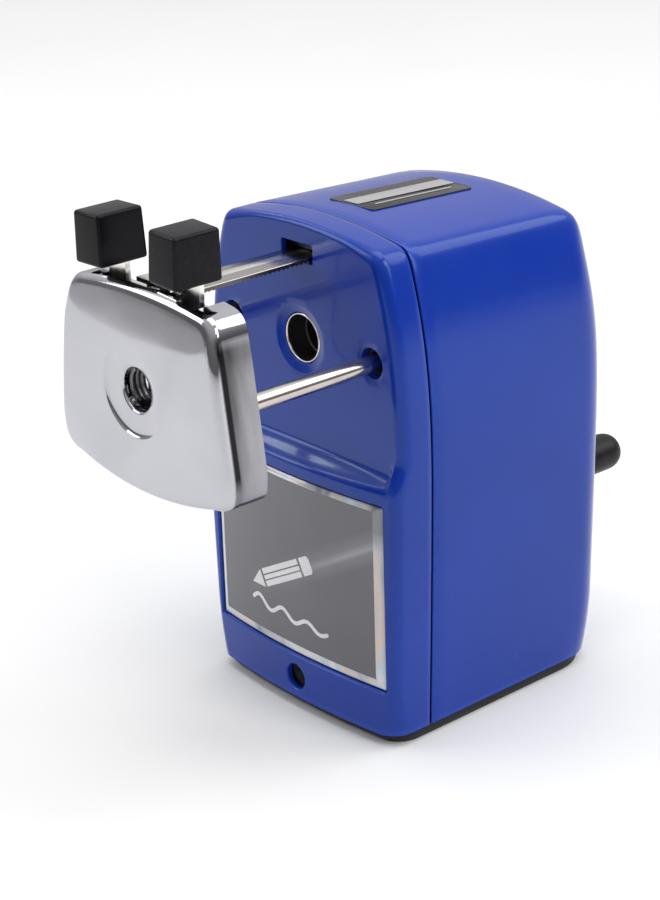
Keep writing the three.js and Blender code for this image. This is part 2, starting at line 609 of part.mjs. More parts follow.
function makeCrank() {
  const armBack = ARM_PLANE + ARM_THICKNESS;
  const flange = turned([
    [4.1, 56.8], [15.7, 56.8], [15.7, BODY_DEPTH + 0.35], [18.6, BODY_DEPTH + 0.35], [18.6, 67], [17.8, 67.8],
    [8.4, 67.8], [8, 68.4], [4.1, 68.4], [4.1, 56.8],
  ], 0, PENCIL_HEIGHT, 40);
  const grips = [-1, 1].map((side) => (
    solid(box(side * 15.5 - 2, side * 15.5 + 2, 67, 68.8, PENCIL_HEIGHT - 5, PENCIL_HEIGHT + 5))
  ));
  const inside = turned([[5.6, 50], [14.2, 50], [14.2, 62.6], [5.6, 62.6], [5.6, 50]], 0, PENCIL_HEIGHT, 32);
  place("rear_flange", surface(cut(unite(solid(flange), ...grips), solid(inside))), blackPlastic());
  const shaft = unite(
    solid(rodY(4, 52.3, 56.7)),
    solid(rodY(4, 56.6, 69)),
    solid(rodY(2.6, 68.9, armBack + 0.1)),
  );
  place("crank_shaft", surface(cut(shaft, solid(rodY(1.3, 62, 80, 0, PENCIL_HEIGHT, 12)))), steel());
  // The arm runs straight from the shaft to the knob, with round ends.
  const arm = [];
  const [width, knobEnd] = [6.2, 5];
  const along = [sin(CRANK_ANGLE), -cos(CRANK_ANGLE)];
  const across = [cos(CRANK_ANGLE), sin(CRANK_ANGLE)];
  const endArc = (centre, radius, from) => {
    for (let i = 0; i <= 8; i++) {
      const angle = from + (i * PI) / 8;
      const [a, b] = [radius * cos(angle), radius * sin(angle)];
      arm.push([centre[0] + a * across[0] + b * along[0], centre[1] + a * across[1] + b * along[1]]);
    }
  };
  endArc([KNOB_X, KNOB_Z], knobEnd, 0);
  endArc([0, PENCIL_HEIGHT], width, PI);
  const strip = cut(
    solid(alongY(arm, ARM_PLANE, armBack)),
    solid(rodY(2.6 + FIT, 60, 80)),
    solid(rodY(1.6 + FIT, 60, 80, KNOB_X, KNOB_Z, 16)),
  );
  place("crank_arm", surface(strip), chrome());
  const screw = unite(
    solid(turned([
      [0, armBack + 0.3], [4.4, armBack + 0.3], [4.4, armBack + 1.3], [3, armBack + 2.1], [0, armBack + 2.1],
    ])),
    solid(rodY(1.15, 63, armBack + 0.5, 0, PENCIL_HEIGHT, 12)),
  );
  const cross = [box(-2.2, 2.2, armBack + 1.3, armBack + 3, PENCIL_HEIGHT - 0.4, PENCIL_HEIGHT + 0.4)];
  place("crank_screw", surface(cut(screw, ...cross.map(solid))), steel());
  const [knobFront, knobBack] = [armBack + 0.4, armBack + 0.4 + KNOB_LENGTH];
  const pin = unite(
    solid(rodY(1.6, ARM_PLANE - 0.2, knobBack + 0.2, KNOB_X, KNOB_Z, 16)),
    solid(rodY(2.6, ARM_PLANE - 1, ARM_PLANE - 0.15, KNOB_X, KNOB_Z, 16)),
    solid(turned([
      [0, knobBack + 0.15], [2.3, knobBack + 0.15], [1.9, knobBack + 0.6], [0, knobBack + 0.8],
    ], KNOB_X, KNOB_Z, 16)),
  );
  place("knob_pin", surface(pin), steel());
  const knob = turned([
    [1.75, knobFront], [3.2, knobFront], [3.6, knobFront + 0.5], [3.9, knobFront + 5], [KNOB_RADIUS, knobFront + 10],
    [KNOB_RADIUS, knobBack - 3.6], [3.95, knobBack - 2.2], [3.3, knobBack - 1], [2.4, knobBack - 0.2],
    [1.75, knobBack], [1.75, knobFront],
  ], KNOB_X, KNOB_Z, 24);
  place("crank_knob", knob, blackPlastic());
}

// ---------------------------------------------------------------- feed carriage
/** The chromed cover's outline, as [x, z]: it flares towards a bowed foot. */
function plateOutline() {
  const side = [[26.9, 68.3], [27.1, 71], [25.95, 79], [24.3, 90.5], [23.2, 97]];
  const bottom = (x) => 61.1 + x ** 2 / 170;
  const top = (x) => 103.4 - x ** 2 / 220;
  const bend = (from, elbow, to) => [0.25, 0.5, 0.75].map((t) => {
    const [u, v, w] = [(1 - t) ** 2, 2 * t * (1 - t), t ** 2];
    return [u * from[0] + v * elbow[0] + w * to[0], u * from[1] + v * elbow[1] + w * to[1]];
  });
  const low = [21.6, bottom(21.6)];
  const high = [18.4, top(18.4)];
  const right = [
    [7.4, bottom(7.4)], [14.8, bottom(14.8)], low, ...bend(low, [26.6, 65], side[0]), ...side,
    ...bend(side.at(-1), [22.9, 101.2], high), high, [12.4, top(12.4)], [6.2, top(6.2)],
  ];
  const left = right.map(([x, z]) => [-x, z]).reverse();
  return [[0, bottom(0)], ...right, [0, top(0)], ...left];
}

/** The chromed face is domed; its upper third leans back further. */
function plateFace(x, z) {
  const rise = z - PLATE_CENTRE_HEIGHT;
  const lean = max(0, rise - 8);
  return PLATE_FRONT + 0.0018 * x ** 2 + 0.0028 * rise ** 2 + 0.006 * lean ** 2;
}

function plateForm(wall) {
  const points = plateOutline();
  const centre = [0, PLATE_CENTRE_HEIGHT];
  const scaled = (share, extra) => points.map(([x, z]) => {
    const [dx, dz] = [x - centre[0], z - centre[1]];
    const length = hypot(dx, dz);
    const k = (share * (length - wall) - extra) / length;
    return [centre[0] + dx * k, centre[1] + dz * k];
  });
  const rings = [];
  rings.push(scaled(1, 0).map(([x, z]) => [x, PLATE_RIM + (wall > 0 ? 1 : 0), z]));
  const steps = [[1, 0, 1.6], [1, 0.45, 0.5], [1, 1.5, 0], [0.82, 0, 0], [0.6, 0, 0], [0.36, 0, 0]];
  for (const [share, extra, back] of steps) {
    rings.push(scaled(share, extra).map(([x, z]) => [x, plateFace(x, z) + back + wall, z]));
  }
  return solid(loft(rings, ([x, , z]) => [x, z]));
}

function makeCarriage() {
  const shell = cut(plateForm(0), plateForm(PLATE_WALL));
  const dishFloor = solid(rodY(DISH_RADIUS + 0.8, DISH_FLOOR - 0.5, DISH_FLOOR + PLATE_WALL, 0, PENCIL_HEIGHT, 36));
  const cover = cut(
    unite(shell, dishFloor),
    solid(rodY(DISH_RADIUS, PLATE_FRONT - 3, DISH_FLOOR, 0, PENCIL_HEIGHT, 36)),
    solid(rodY(PENCIL_HOLE_RADIUS, PLATE_FRONT - 3, PLATE_RIM - 1, 0, PENCIL_HEIGHT, 28)),
    solid(box(-16.4, 16.4, -34, PLATE_RIM + 1, 99.5, 108)),
  );
  place("faceplate_cover", surface(cover), chrome());

  const shrink = (inset) => plateOutline().map(([x, z]) => {
    const length = hypot(x, z - PLATE_CENTRE_HEIGHT);
    const k = (length - inset) / length;
    return [x * k, PLATE_CENTRE_HEIGHT + (z - PLATE_CENTRE_HEIGHT) * k];
  });
  const [plateFront, plateBack] = [-28.4, -27.2];
  const plate = cut(
    unite(
      solid(alongY(shrink(PLATE_WALL + 0.45), plateFront, plateBack)),
      solid(box(-5.3, 5.3, plateFront, plateBack, 96, 103)),
      solid(box(-5.3, 5.3, -31.2, plateBack, 102.3, 103.2)),
    ),
    solid(rodY(5, -30, -20)),
    solid(box(-RAIL.width / 2 - FIT, RAIL.width / 2 + FIT, -30, -20, RAIL.bottom - FIT, RAIL.top + FIT)),
    ...[-1, 1].flatMap((side) => [
      solid(rodY(ROD_RADIUS + 0.1, -30, -20, (side * ROD_SPACING) / 2, PENCIL_HEIGHT)),
      solid(rodY(1.25, -30, -20, side * LEVER_PIVOT.x, LEVER_PIVOT.z, 14)),
      solid(rodY(1.3, -30, -20, side * 15, 68, 12)),
      solid(box(side > 0 ? 6 : -16, side > 0 ? 16 : -6, -30, -20, 100.2, 108)),
    ]),
  );
  place("clamp_plate", surface(plate), steel());

  for (const [side, word] of [[-1, "left"], [1, "right"]]) {
    const x = (side * ROD_SPACING) / 2;
    const rod = turned([
      [0, -29.8], [2.2, -29.8], [2.6, -29.4], [2.6, -28.7], [ROD_RADIUS, -28.7], [ROD_RADIUS, 29.2],
      [1.3, 29.3], [1.3, 30.2], [ROD_RADIUS, 30.3], [ROD_RADIUS, 31], [1.4, 31.4], [0, 31.4],
    ], x, PENCIL_HEIGHT, 20);
    place(`guide_rod_${word}`, rod, steel());
    const clip = cut(
      solid(rodY(3.1, 29.4, 30.1, x)),
      solid(rodY(1.3 + 0.1, 28, 32, x)),
      solid(box(x - 0.7, x + 0.7, 28, 32, 70, PENCIL_HEIGHT)),
    );
    place(`rod_clip_${word}`, surface(clip), springSteel());
    const pivot = unite(
      solid(rodY(1.5, -32.2, -28.7, side * LEVER_PIVOT.x, LEVER_PIVOT.z, 20)),
      solid(rodY(1.15, -29, -27.2, side * LEVER_PIVOT.x, LEVER_PIVOT.z, 14)),
      solid(rodY(2.6, -32.2, -31.5, side * LEVER_PIVOT.x, LEVER_PIVOT.z, 20)),
    );
    place(`lever_pin_${word}`, surface(pivot), steel());
    const screw = unite(
      solid(rodY(2.3, -27.1, -26.3, side * 15, 68, 16)),
      solid(rodY(1.15, -31.5, -26.6, side * 15, 68, 12)),
    );
    const slot = solid(box(side * 15 - 3, side * 15 + 3, -26.6, -26, 67.7, 68.3));
    place(`plate_screw_${word}`, surface(cut(screw, slot)), zinc());
    makeLever(side, word);
  }
  makeRail();
  const spring = coil(1.7, 0.3, 15.4, 8).rotateZ(-PI / 2).translate(-7.7, LEVER_PLANE + LEVER_THICKNESS / 2, 97.3);
  place("grip_spring", spring, springSteel());
}

/** An inverted channel whose side walls end in fine ratchet teeth. */
function makeRail() {
  const [front, back, pitch] = [-29.3, 14, 1.7];
  const teeth = [];
  for (let y = back - 2; y > front + 10; y -= pitch) {
    teeth.push([y, RAIL.bottom], [y, RAIL.bottom + 0.35], [y - pitch * 0.8, RAIL.bottom]);
  }
  const eaves = RAIL.bottom + 0.5;
  const wall = [
    [front, eaves + 0.1], [front, RAIL.bottom], ...teeth.reverse(), [back, RAIL.bottom], [back, eaves + 0.1],
  ];
  const half = RAIL.width / 2;
  const crown = [[-half, eaves], [half, eaves], [half - 0.5, eaves + 0.45], [1.1, RAIL.top], [-1.1, RAIL.top],
    [0.5 - half, eaves + 0.45]];
  const rail = cut(
    unite(
      solid(alongX(wall, -half, RAIL.wall - half)),
      solid(alongX(wall, half - RAIL.wall, half)),
      solid(alongY(crown, front, back)),
    ),
    solid(box(RAIL.wall - half, half - RAIL.wall, front - 1, back + 1, RAIL.bottom - 1, eaves + 0.1)),
  );
  place("latch_rail", surface(rail), steel());
}

// ---------------------------------------------------------------- levers
/** A squeeze lever: a flat strip with a black cap on top and a gripping jaw below its pivot. */
function makeLever(side, word) {
  const lean = Math.atan2(CAP_CENTRE.x - LEVER_PIVOT.x, CAP_CENTRE.z - LEVER_PIVOT.z);
  const eye = 3.7;
  const stem = 2.75;
  const top = CAP_CENTRE.z - LEVER_PIVOT.z + 2;
  const outlinePoints = [[-5.2, -12.8], [0.4, -12.4]];
  for (let i = 0; i <= 6; i++) {
    const angle = -PI / 3 + (i * PI) / 10;
    outlinePoints.push([eye * cos(angle), eye * sin(angle)]);
  }
  outlinePoints.push([stem, 6], [stem, top], [-stem, top], [-stem, 6], [-eye, 1.5], [-eye - 1.2, -2], [-5.6, -6]);
  // Made about the pivot, leaning outward, then mirrored for the left side.
  const onLever = (geometry) => {
    geometry.rotateY(lean).translate(LEVER_PIVOT.x, 0, LEVER_PIVOT.z);
    if (side < 0) {
      geometry.scale(-1, 1, 1);
      facingOut(geometry);
    }
    return geometry;
  };
  const strip = cut(
    solid(alongY(outlinePoints, LEVER_PLANE, LEVER_PLANE + LEVER_THICKNESS)),
    solid(rodY(1.6, LEVER_PLANE - 3, LEVER_PLANE + 3, 0, 0, 20)),
  );
  place(`lever_strip_${word}`, onLever(surface(strip)), steel());
  const up = CAP_CENTRE.z - LEVER_PIVOT.z;
  const block = new RoundedBoxGeometry(CAP_SIZE.x, CAP_SIZE.y, CAP_SIZE.z, 2, 0.7);
  const corners = block.attributes.position;
  for (let i = 0; i < corners.count; i++) {
    const share = 1 - (CAP_TAPER * corners.getZ(i)) / CAP_SIZE.z;
    corners.setXY(i, corners.getX(i) * share, corners.getY(i) * share);
  }
  block.translate(0, CAP_CENTRE.y, up);
  const socket = box(-stem - 0.2, stem + 0.2, LEVER_PLANE - 0.2, LEVER_PLANE + LEVER_THICKNESS + 0.2, 0, top + 0.3);
  place(`lever_cap_${word}`, onLever(surface(cut(solid(block), solid(socket)))), blackPlastic());
  makeJaw(side, word);
}

function makeJaw(side, word) {
  const [inner, outer] = [2.6, 9.4];
  const [front, back] = [-35.3, LEVER_PLANE - 0.25];
  const block = solid(alongY(rectangle(inner, outer, PENCIL_HEIGHT - 5, PENCIL_HEIGHT + 4.6), front, back));
  // A hollow with ribs round it holds the pencil.
  const profile = [[0, front - 1], [4.5, front - 1], [4.5, front + 0.3]];
  for (let y = front + 0.3; y < back; y += 1.1) {
    profile.push([3.9, y + 0.3], [3.9, y + 0.5], [4.4, y + 0.8], [4.4, y + 1.1]);
  }
  profile.push([4.4, back + 2.5], [0, back + 2.5]);
  const jaw = surface(cut(block, solid(turned(profile, 0, PENCIL_HEIGHT, 32))));
  if (side < 0) {
    jaw.scale(-1, 1, 1);
    facingOut(jaw);
  }
  place(`jaw_${word}`, jaw, cutterSteel());
}

// ---------------------------------------------------------------- drawer
/** An outline in plan whose front edge follows the bowed front, as [x, y]. */
function bowedPlan(half, front, back) {
  const points = [];
  for (let i = -4; i <= 4; i++) {
    const x = (half * i) / 4;
    points.push([x, x ** 2 / (2 * FRONT_BOW_RADIUS) + front]);
  }
  return [...points, [half, back], [-half, back]];
}

function makeDrawer() {
  const half = DRAWER.width / 2;
  const { bottom, top, depth, wall, front } = DRAWER;
  const bevel = 0.9;
  const pane = bowedPlan(half, 0, front);
  const rings = [[bottom, bevel], [bottom + bevel, 0], [top - bevel, 0], [top, bevel]].map(([z, back]) =>
    pane.map(([x, y], i) => [x, i < 9 ? y + back : y, z]));
  place("drawer_window", loft(rings, ([x, y]) => [x, y]), clearPlastic());
  const room = half - wall;
  const sides = half - 0.2;
  const bin = cut(
    solid(box(-sides, sides, front + 1.9, depth, bottom, top - 1)),
    solid(box(-room, room, front + 3, depth - wall, bottom + wall, top + 2)),
  );
  place("drawer_bin", surface(bin), clearPlastic());
}

// ---------------------------------------------------------------- label
function makeLabel() {
  const [centre, half] = [-0.5, 6.1];
  const section = (y) => {
    const fall = ROOF_FALL * (y - SEAM);
    const points = [];
    for (let i = 0; i <= 6; i++) {
      const x = centre - half + (2 * half * i) / 6;
      points.push([x, y, roofHeight(x) - fall + 0.12]);
    }
    return [...points, ...points.map(([x, , z]) => [x, y, z + 0.22]).reverse()];
  };
  place("top_label", loft([20.3, 29, 38, 46].map(section), ([x, , z]) => [x, z]), labelFilm());
}

// ---------------------------------------------------------------- assembly
place("front_case", surface(makeFrontCase()), bluePaint());
place("cover_shell", surface(makeCover()), bluePaint());
makeBase();
makeGuides();
makeRing();
makeCutter();
makeCarrier();
makeCrank();
makeCarriage();
makeDrawer();
makeLabel();

export default root;
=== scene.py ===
"""A hand-cranked desk pencil sharpener: the look of each piece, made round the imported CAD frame.

Shapes are in millimetres with y = 0 at the drawer's front, as in the CAD. point() turns them into metres
round the frame's origin, which lies under the middle of the case.
"""
import math
from contextlib import contextmanager

import bmesh
import bpy
from mathutils import Matrix, Vector


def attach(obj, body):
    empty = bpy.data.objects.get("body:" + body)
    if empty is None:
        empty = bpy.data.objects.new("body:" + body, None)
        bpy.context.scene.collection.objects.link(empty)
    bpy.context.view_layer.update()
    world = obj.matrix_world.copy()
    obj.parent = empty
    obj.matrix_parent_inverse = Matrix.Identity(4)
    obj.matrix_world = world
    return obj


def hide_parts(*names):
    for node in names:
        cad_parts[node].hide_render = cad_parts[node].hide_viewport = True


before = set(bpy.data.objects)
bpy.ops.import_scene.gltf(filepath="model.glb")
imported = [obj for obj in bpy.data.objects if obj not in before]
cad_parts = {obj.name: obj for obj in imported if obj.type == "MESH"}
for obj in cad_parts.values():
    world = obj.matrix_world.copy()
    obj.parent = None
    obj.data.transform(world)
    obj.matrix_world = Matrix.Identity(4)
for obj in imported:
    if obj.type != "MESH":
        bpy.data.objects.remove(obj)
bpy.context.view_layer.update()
SCENE = bpy.context.scene

# ---- driving sizes, in millimetres
DEPTH = 65.2  # drawer's front to case's back
FRONT_TO_MIDDLE = DEPTH / 2
PENCIL = 82.8  # height of the pencil's path
ROD_X = 21.4  # from the middle to each guide rod
SEAM, HALF_GAP = 12.3, 0.25  # where the front case meets the cover
DOCK = 4.5  # how far back the flat face behind the clamp lies
HALF_WIDTH = 30.5  # at the height WIDEST
FOOT, WIDEST, SHOULDER, ROOF = 2.7, 60.0, 99.0, 107.8  # heights of the case
LEDGE_FOOT, LEDGE_TOP = 57.0, 60.6  # heights of the ledge above the drawer
CORNER_X, CORNER_Z = 19.6, 97.0  # where the corner between roof and side ends
ROOF_FALL = 0.04  # slope of the roof towards the back
FRONT_ROLL, ROOF_ROLL, BACK_ROLL = 2.6, 1.4, 10.5  # radii of the case's edges
CASE_WALL, COVER_WALL, PLATE_WALL = 1.3, 1.2, 0.8
SIDES = ((-1, "left"), (1, "right"))


def point(x, y, z):
    return Vector((x, y - FRONT_TO_MIDDLE, z)) / 1000


def millimetres(place):
    """The x, y and z that point() turned into this place."""
    return place.x * 1000, place.y * 1000 + FRONT_TO_MIDDLE, place.z * 1000


def lerp(a, b, t):
    return a + (b - a) * t


def smooth(a, b, v):
    """0 at a and 1 at b, eased at both ends."""
    t = min(1.0, max(0.0, (v - a) / (b - a)))
    return t * t * (3 - 2 * t)


def adjust(thing, **settings):
    for key, value in settings.items():
        setattr(thing, key, value)
    return thing


def add_object(name, data):
    made = bpy.data.objects.new(name, data)
    SCENE.collection.objects.link(made)
    return made


# ---- camera
EYE = (0.32763, -0.30263, 0.23262)
TOWARDS_EYE = (0.7021, -0.6037, 0.3777)
ROLL = math.radians(-1.76)
LENS = 89.38


def make_camera():
    data = bpy.data.cameras.new("camera")
    adjust(data, lens=LENS, sensor_width=36, clip_start=0.01, clip_end=20)
    camera = add_object("camera", data)
    back = Vector(TOWARDS_EYE).normalized()
    right = Vector((0, 0, 1)).cross(back).normalized()
    up = back.cross(right)
    level = Matrix((right, up, back)).transposed().to_4x4()
    camera.matrix_world = Matrix.Translation(EYE) @ level @ Matrix.Rotation(ROLL, 4, "Z")
    bpy.context.scene.camera = camera


# ---- materials
def add_node(tree, kind, inputs=None, **settings):
    """Adds a shader node; an input is a value, or the socket that feeds it."""
    made = adjust(tree.nodes.new("ShaderNode" + kind), **settings)
    for key, value in (inputs or {}).items():
        if isinstance(value, bpy.types.NodeSocket):
            tree.links.new(value, made.inputs[key])
        else:
            made.inputs[key].default_value = value
    return made


def map_range(tree, value, low, high, source, **settings):
    """Runs from low to high while value runs through source, and is held beyond it."""
    ends = {"From Min": source[0], "From Max": source[1], "To Min": low, "To Max": high}
    return add_node(tree, "MapRange", {"Value": value, **ends}, **settings).outputs["Result"]


def scaled(colour, factor):
    return tuple(min(1.0, c * factor) for c in colour)


class Look:
    """One node material round a Principled shader, in object coordinates."""

    def __init__(self, name, **constants):
        self.material = bpy.data.materials.new(name)
        self.material.use_nodes = True
        self.tree = self.material.node_tree
        self.shader = self.tree.nodes["Principled BSDF"]
        for socket, value in constants.items():
            self.shader.inputs[socket.replace("_", " ")].default_value = value
        self.coordinates = self.node("TexCoord").outputs["Object"]

    def node(self, kind, inputs=None, **settings):
        return add_node(self.tree, kind, inputs, **settings)

    def place(self):
        """The x, y and z of the shaded point, in metres."""
        return self.node("SeparateXYZ", {"Vector": self.coordinates}).outputs

    def noise(self, scale, detail=3.0, stretch=None, distortion=0.0):
        """Noise; stretch multiplies its scale along each axis."""
        vector = self.coordinates
        if stretch:
            mapping = self.node("Mapping", {"Vector": vector, "Scale": stretch})
            vector = mapping.outputs["Vector"]
        inputs = {"Vector": vector, "Scale": scale, "Detail": detail, "Distortion": distortion}
        return self.node("TexNoise", inputs).outputs["Fac"]

    def ramp(self, factor, stops):
        """A grey or coloured ramp; a stop is (place, grey) or (place, (r, g, b))."""
        made = self.node("ValToRGB", {"Fac": factor})
        elements = made.color_ramp.elements
        while len(elements) < len(stops):
            elements.new(0.5)
        for element, (place, value) in zip(elements, stops):
            element.position = place
            rgb = value if isinstance(value, tuple) else (value,) * 3
            element.color = (*rgb, 1)
        return made.outputs["Color"]

    def between(self, factor, dark, light):
        """A ramp over the middle of a noise's range."""
        return self.ramp(factor, [(0.3, dark), (0.7, light)])

    def scratches(self, scale, stretch, low=0.62, high=0.66):
        """Thin streaks: 1 on a streak and 0 between."""
        return self.ramp(self.noise(scale, 2.0, stretch), [(low, 0.0), (high, 1.0)])

    def span(self, factor, low, high, source=(0.3, 0.7)):
        return map_range(self.tree, factor, low, high, source)

    def math(self, operation, a, b):
        return self.node("Math", {0: a, 1: b}, operation=operation).outputs[0]

    def times(self, a, b):
        return self.math("MULTIPLY", a, b)

    def plus(self, a, b):
        return self.math("ADD", a, b)

    def mix(self, factor, *colours):
        """The first colour where factor is 0, the second where it is 1."""
        a, b = [(*colour, 1) if isinstance(colour, tuple) else colour for colour in colours]
        return self.node("Mix", {"Factor": factor, 6: a, 7: b}, data_type="RGBA").outputs[2]

    def bump(self, height, distance, strength=1.0, under=None):
        inputs = {"Height": height, "Distance": distance, "Strength": strength}
        if under:
            inputs["Normal"] = under
        return self.node("Bump", inputs).outputs["Normal"]

    def edge_wear_and_sheen(self, low=0.5, high=0.54):
        """1 on sharp outer edges and 0 on flat faces, broken up by noise."""
        pointed = self.node("NewGeometry").outputs["Pointiness"]
        broken = self.plus(pointed, self.span(self.noise(900, 3), -0.012, 0.012))
        return self.span(broken, 0.0, 1.0, (low, high))

    def done(self, colour, roughness, normal=None):
        for name, socket in (("Base Color", colour), ("Roughness", roughness), ("Normal", normal)):
            if socket:
                self.tree.links.new(socket, self.shader.inputs[name])
        return self.material


def enamel():
    """Glossy paint with a faint orange peel, hair scratches and paler rubbed edges."""
    look = Look(
        "blue_enamel", IOR=1.5, Coat_Weight=0.22, Coat_Roughness=0.02, Coat_IOR=1.45,
        Specular_IOR_Level=0.34, Specular_Tint=(0.62, 0.92, 1.0, 1.0),
    )
    broad = look.noise(28, 2)
    colour = look.ramp(broad, [(0.25, (0.0020, 0.0225, 0.262)), (0.75, (0.0030, 0.0295, 0.318))])
    speck = look.ramp(look.noise(2600, 2), [(0.70, 0.0), (0.76, 1.0)])
    colour = look.mix(look.times(speck, 0.25), colour, (0.008, 0.045, 0.46))
    colour = look.mix(look.times(look.edge_wear_and_sheen(0.515, 0.56), 0.3), colour, (0.018, 0.07, 0.55))
    hairs = look.scratches(70, (1, 30, 4), 0.68, 0.72)
    rough = look.plus(look.span(look.noise(60, 4), 0.16, 0.26), look.times(hairs, 0.03))
    peel = look.bump(look.noise(480, 2), 4e-5, 0.3)
    return look.done(colour, rough, look.bump(hairs, 1e-5, 0.05, peel))


def painted_wall_reflections(look, colour):
    """Darkens the clamp cover's side walls with painted reflections, most of all in a painted dark band just
    behind their front edge.
    """
    _, y, z = look.place()
    below_shoulder = look.span(z, 1.0, 0.0, (0.0955, 0.0985))
    above_bottom = look.span(z, 0.0, 1.0, (0.0685, 0.0715))
    behind_edge = look.span(y, 0.0, 1.0, (-0.0677, -0.0672))
    wall = look.times(below_shoulder, behind_edge)
    # Grey streaks, strongest towards the top, are painted reflections on the walls.
    streaked = look.noise(60, 3, (1, 2.2, 0.5))
    streaks = look.ramp(streaked, [(0.35, (0.09, 0.09, 0.095)), (0.65, (0.30, 0.30, 0.32))])
    fading = look.span(z, 0.75, 1.0, (0.068, 0.092))
    colour = look.mix(look.times(wall, fading), colour, streaks)
    # A near-black band just behind the front edge is a painted dark reflection.
    painted_dark_band = look.times(wall, look.span(y, 1.0, 0.0, (-0.0663, -0.0659)))
    return look.mix(look.times(look.times(painted_dark_band, above_bottom), 0.93), colour, (0.012, 0.012, 0.014))


def chrome(name, walls=False):
    """Bright plating, smudged and faintly wavy; walls is for the clamp cover, whose side walls get painted
    reflections.
    """
    look = Look(name, Metallic=1.0, Coat_Weight=0.0)
    smudge = look.noise(46, 5, distortion=0.6)
    colour = look.between(smudge, (0.47, 0.47, 0.51), (0.53, 0.53, 0.57))
    if walls:
        colour = painted_wall_reflections(look, colour)
    wiped = look.noise(120, 3, (1, 1, 7))
    rough = look.plus(look.span(smudge, 0.035, 0.1), look.span(wiped, 0.0, 0.03))
    wavy = look.bump(look.noise(85, 1), 2.2e-4, 0.3)
    pits = look.ramp(look.noise(1500, 1), [(0.74, 0.0), (0.78, 1.0)])
    return look.done(colour, rough, look.bump(pits, 3e-5, 0.25, wavy))


def metal(name, dark, light, rough, stretch=None, distance=3e-5, strength=0.35, grain=900, ridge=0.0):
    """Metal brushed along its stretch, or cast without one; beyond ridge metres from x = 0 it is darker, as
    painted shade on the flanks.
    """
    look = Look(name, Metallic=1.0)
    colour = look.between(look.noise(110, 4), dark, light)
    brushed = look.noise(1.0 if stretch else grain, 3, stretch)
    colour = look.mix(look.times(look.edge_wear_and_sheen(), 0.5), colour, scaled(light, 1.25))
    if ridge:
        # Beyond the ridge the flanks are darkened as painted shade.
        x, _, _ = look.place()
        shaded_flank = look.span(look.math("ABSOLUTE", x, 0.0), 0.0, 1.0, (ridge * 0.8, ridge))
        colour = look.mix(shaded_flank, colour, scaled(dark, 0.62))
    uneven = look.span(look.noise(70, 3), -0.03, 0.03)
    roughness = look.plus(look.span(brushed, *rough), uneven)
    return look.done(colour, roughness, look.bump(brushed, distance, strength))


def moulded(name, dark, light, rough, texture, distance, shine=0.5, coat=0.0):
    """Moulded plastic or rubber with a fine spark-eroded texture and paler edges, partly rubbed wear and
    partly a painted sheen.
    """
    look = Look(name, IOR=1.5, Specular_IOR_Level=shine, Coat_Weight=coat, Coat_Roughness=0.12)
    colour = look.between(look.noise(90, 4), dark, light)
    # Paler edges: partly rubbed wear and partly a painted sheen.
    rubbed_and_sheen = tuple(c * 2.6 + 0.01 for c in light)
    colour = look.mix(look.times(look.edge_wear_and_sheen(0.51, 0.56), 0.45), colour, rubbed_and_sheen)
    fine = look.noise(texture, 2)
    roughness = look.plus(look.span(look.noise(75, 4), *rough), look.span(fine, -0.02, 0.02))
    hairs = look.scratches(120, (1, 14, 4), 0.66, 0.7)
    grain = look.bump(fine, distance, 0.5)
    return look.done(colour, roughness, look.bump(hairs, 1e-5, 0.2, grain))


def smoked(name, dark, light, transmission):
    """Smoked clear plastic, paler towards its top, with a pale streak painted in as a reflection."""
    look = Look(name, IOR=1.49, Transmission_Weight=transmission, Coat_Weight=0.3, Coat_Roughness=0.03)
    x, _, z = look.place()
    # A pale streak that rises to the right and fades to the left is a painted reflection.
    slope, height, breadth = 0.56, 0.0313, 0.012
    off_line = look.math("SUBTRACT", look.math("SUBTRACT", z, look.times(x, slope)), height)
    across = look.plus(look.math("DIVIDE", off_line, breadth), 0.5)
    streak = look.ramp(across, [(0.20, 0.0), (0.44, 0.35), (0.52, 1.0), (0.66, 0.3), (0.9, 0.0)])
    faded_reflection = look.times(streak, look.span(x, 0.0, 1.0, (-0.016, 0.018)))
    upright = look.span(z, 0.0, 1.0, (0.014, 0.052))
    colour = look.mix(upright, dark, tuple(lerp(d, l, 0.4) for d, l in zip(dark, light)))
    mist = look.noise(60, 4)
    colour = look.mix(look.times(look.span(mist, 0.0, 1.0), 0.25), colour, light)
    colour = look.mix(look.times(faded_reflection, 0.8), colour, scaled(light, 2.2))
    hairs = look.scratches(90, (6, 2, 1))
    rough = look.plus(look.span(mist, 0.04, 0.11), look.times(hairs, 0.12))
    return look.done(colour, rough, look.bump(look.noise(140, 2), 4e-5, 0.15))


def clear_edge():
    """The window's polished bevels, with pale, slightly coloured patches painted in as highlights and
    reflections.
    """
    look = Look("polished_bevel", IOR=1.49, Transmission_Weight=0.25, Coat_Weight=0.6, Coat_Roughness=0.02)
    # The patches are painted highlights and reflections.
    glint_patches = look.noise(110, 2, (1, 1, 0.35), distortion=0.5)
    grey, silver, rose = (0.30, 0.31, 0.34), (0.70, 0.71, 0.75), (0.90, 0.74, 0.66)
    sky, white = (0.66, 0.80, 0.90), (0.92, 0.92, 0.94)
    colour = look.ramp(glint_patches, [(0.34, grey), (0.44, silver), (0.50, rose), (0.56, sky), (0.64, white)])
    rough = look.span(look.noise(300, 3), 0.05, 0.14)
    return look.done(colour, rough, look.bump(look.noise(700, 2), 3e-5, 0.2))


def ink(name, colour):
    """Printed ink: slightly uneven, with a matt tooth."""
    look = Look(name, Specular_IOR_Level=0.35)
    grain = look.noise(1800, 3)
    tint = look.between(grain, scaled(colour, 0.88), colour)
    rough = look.span(grain, 0.35, 0.5)
    return look.done(tint, rough, look.bump(grain, 1e-5, 0.3))


BLUE = enamel()
CHROME = chrome("chrome_arm")
CHROME_COVER = chrome("chrome_cover", walls=True)
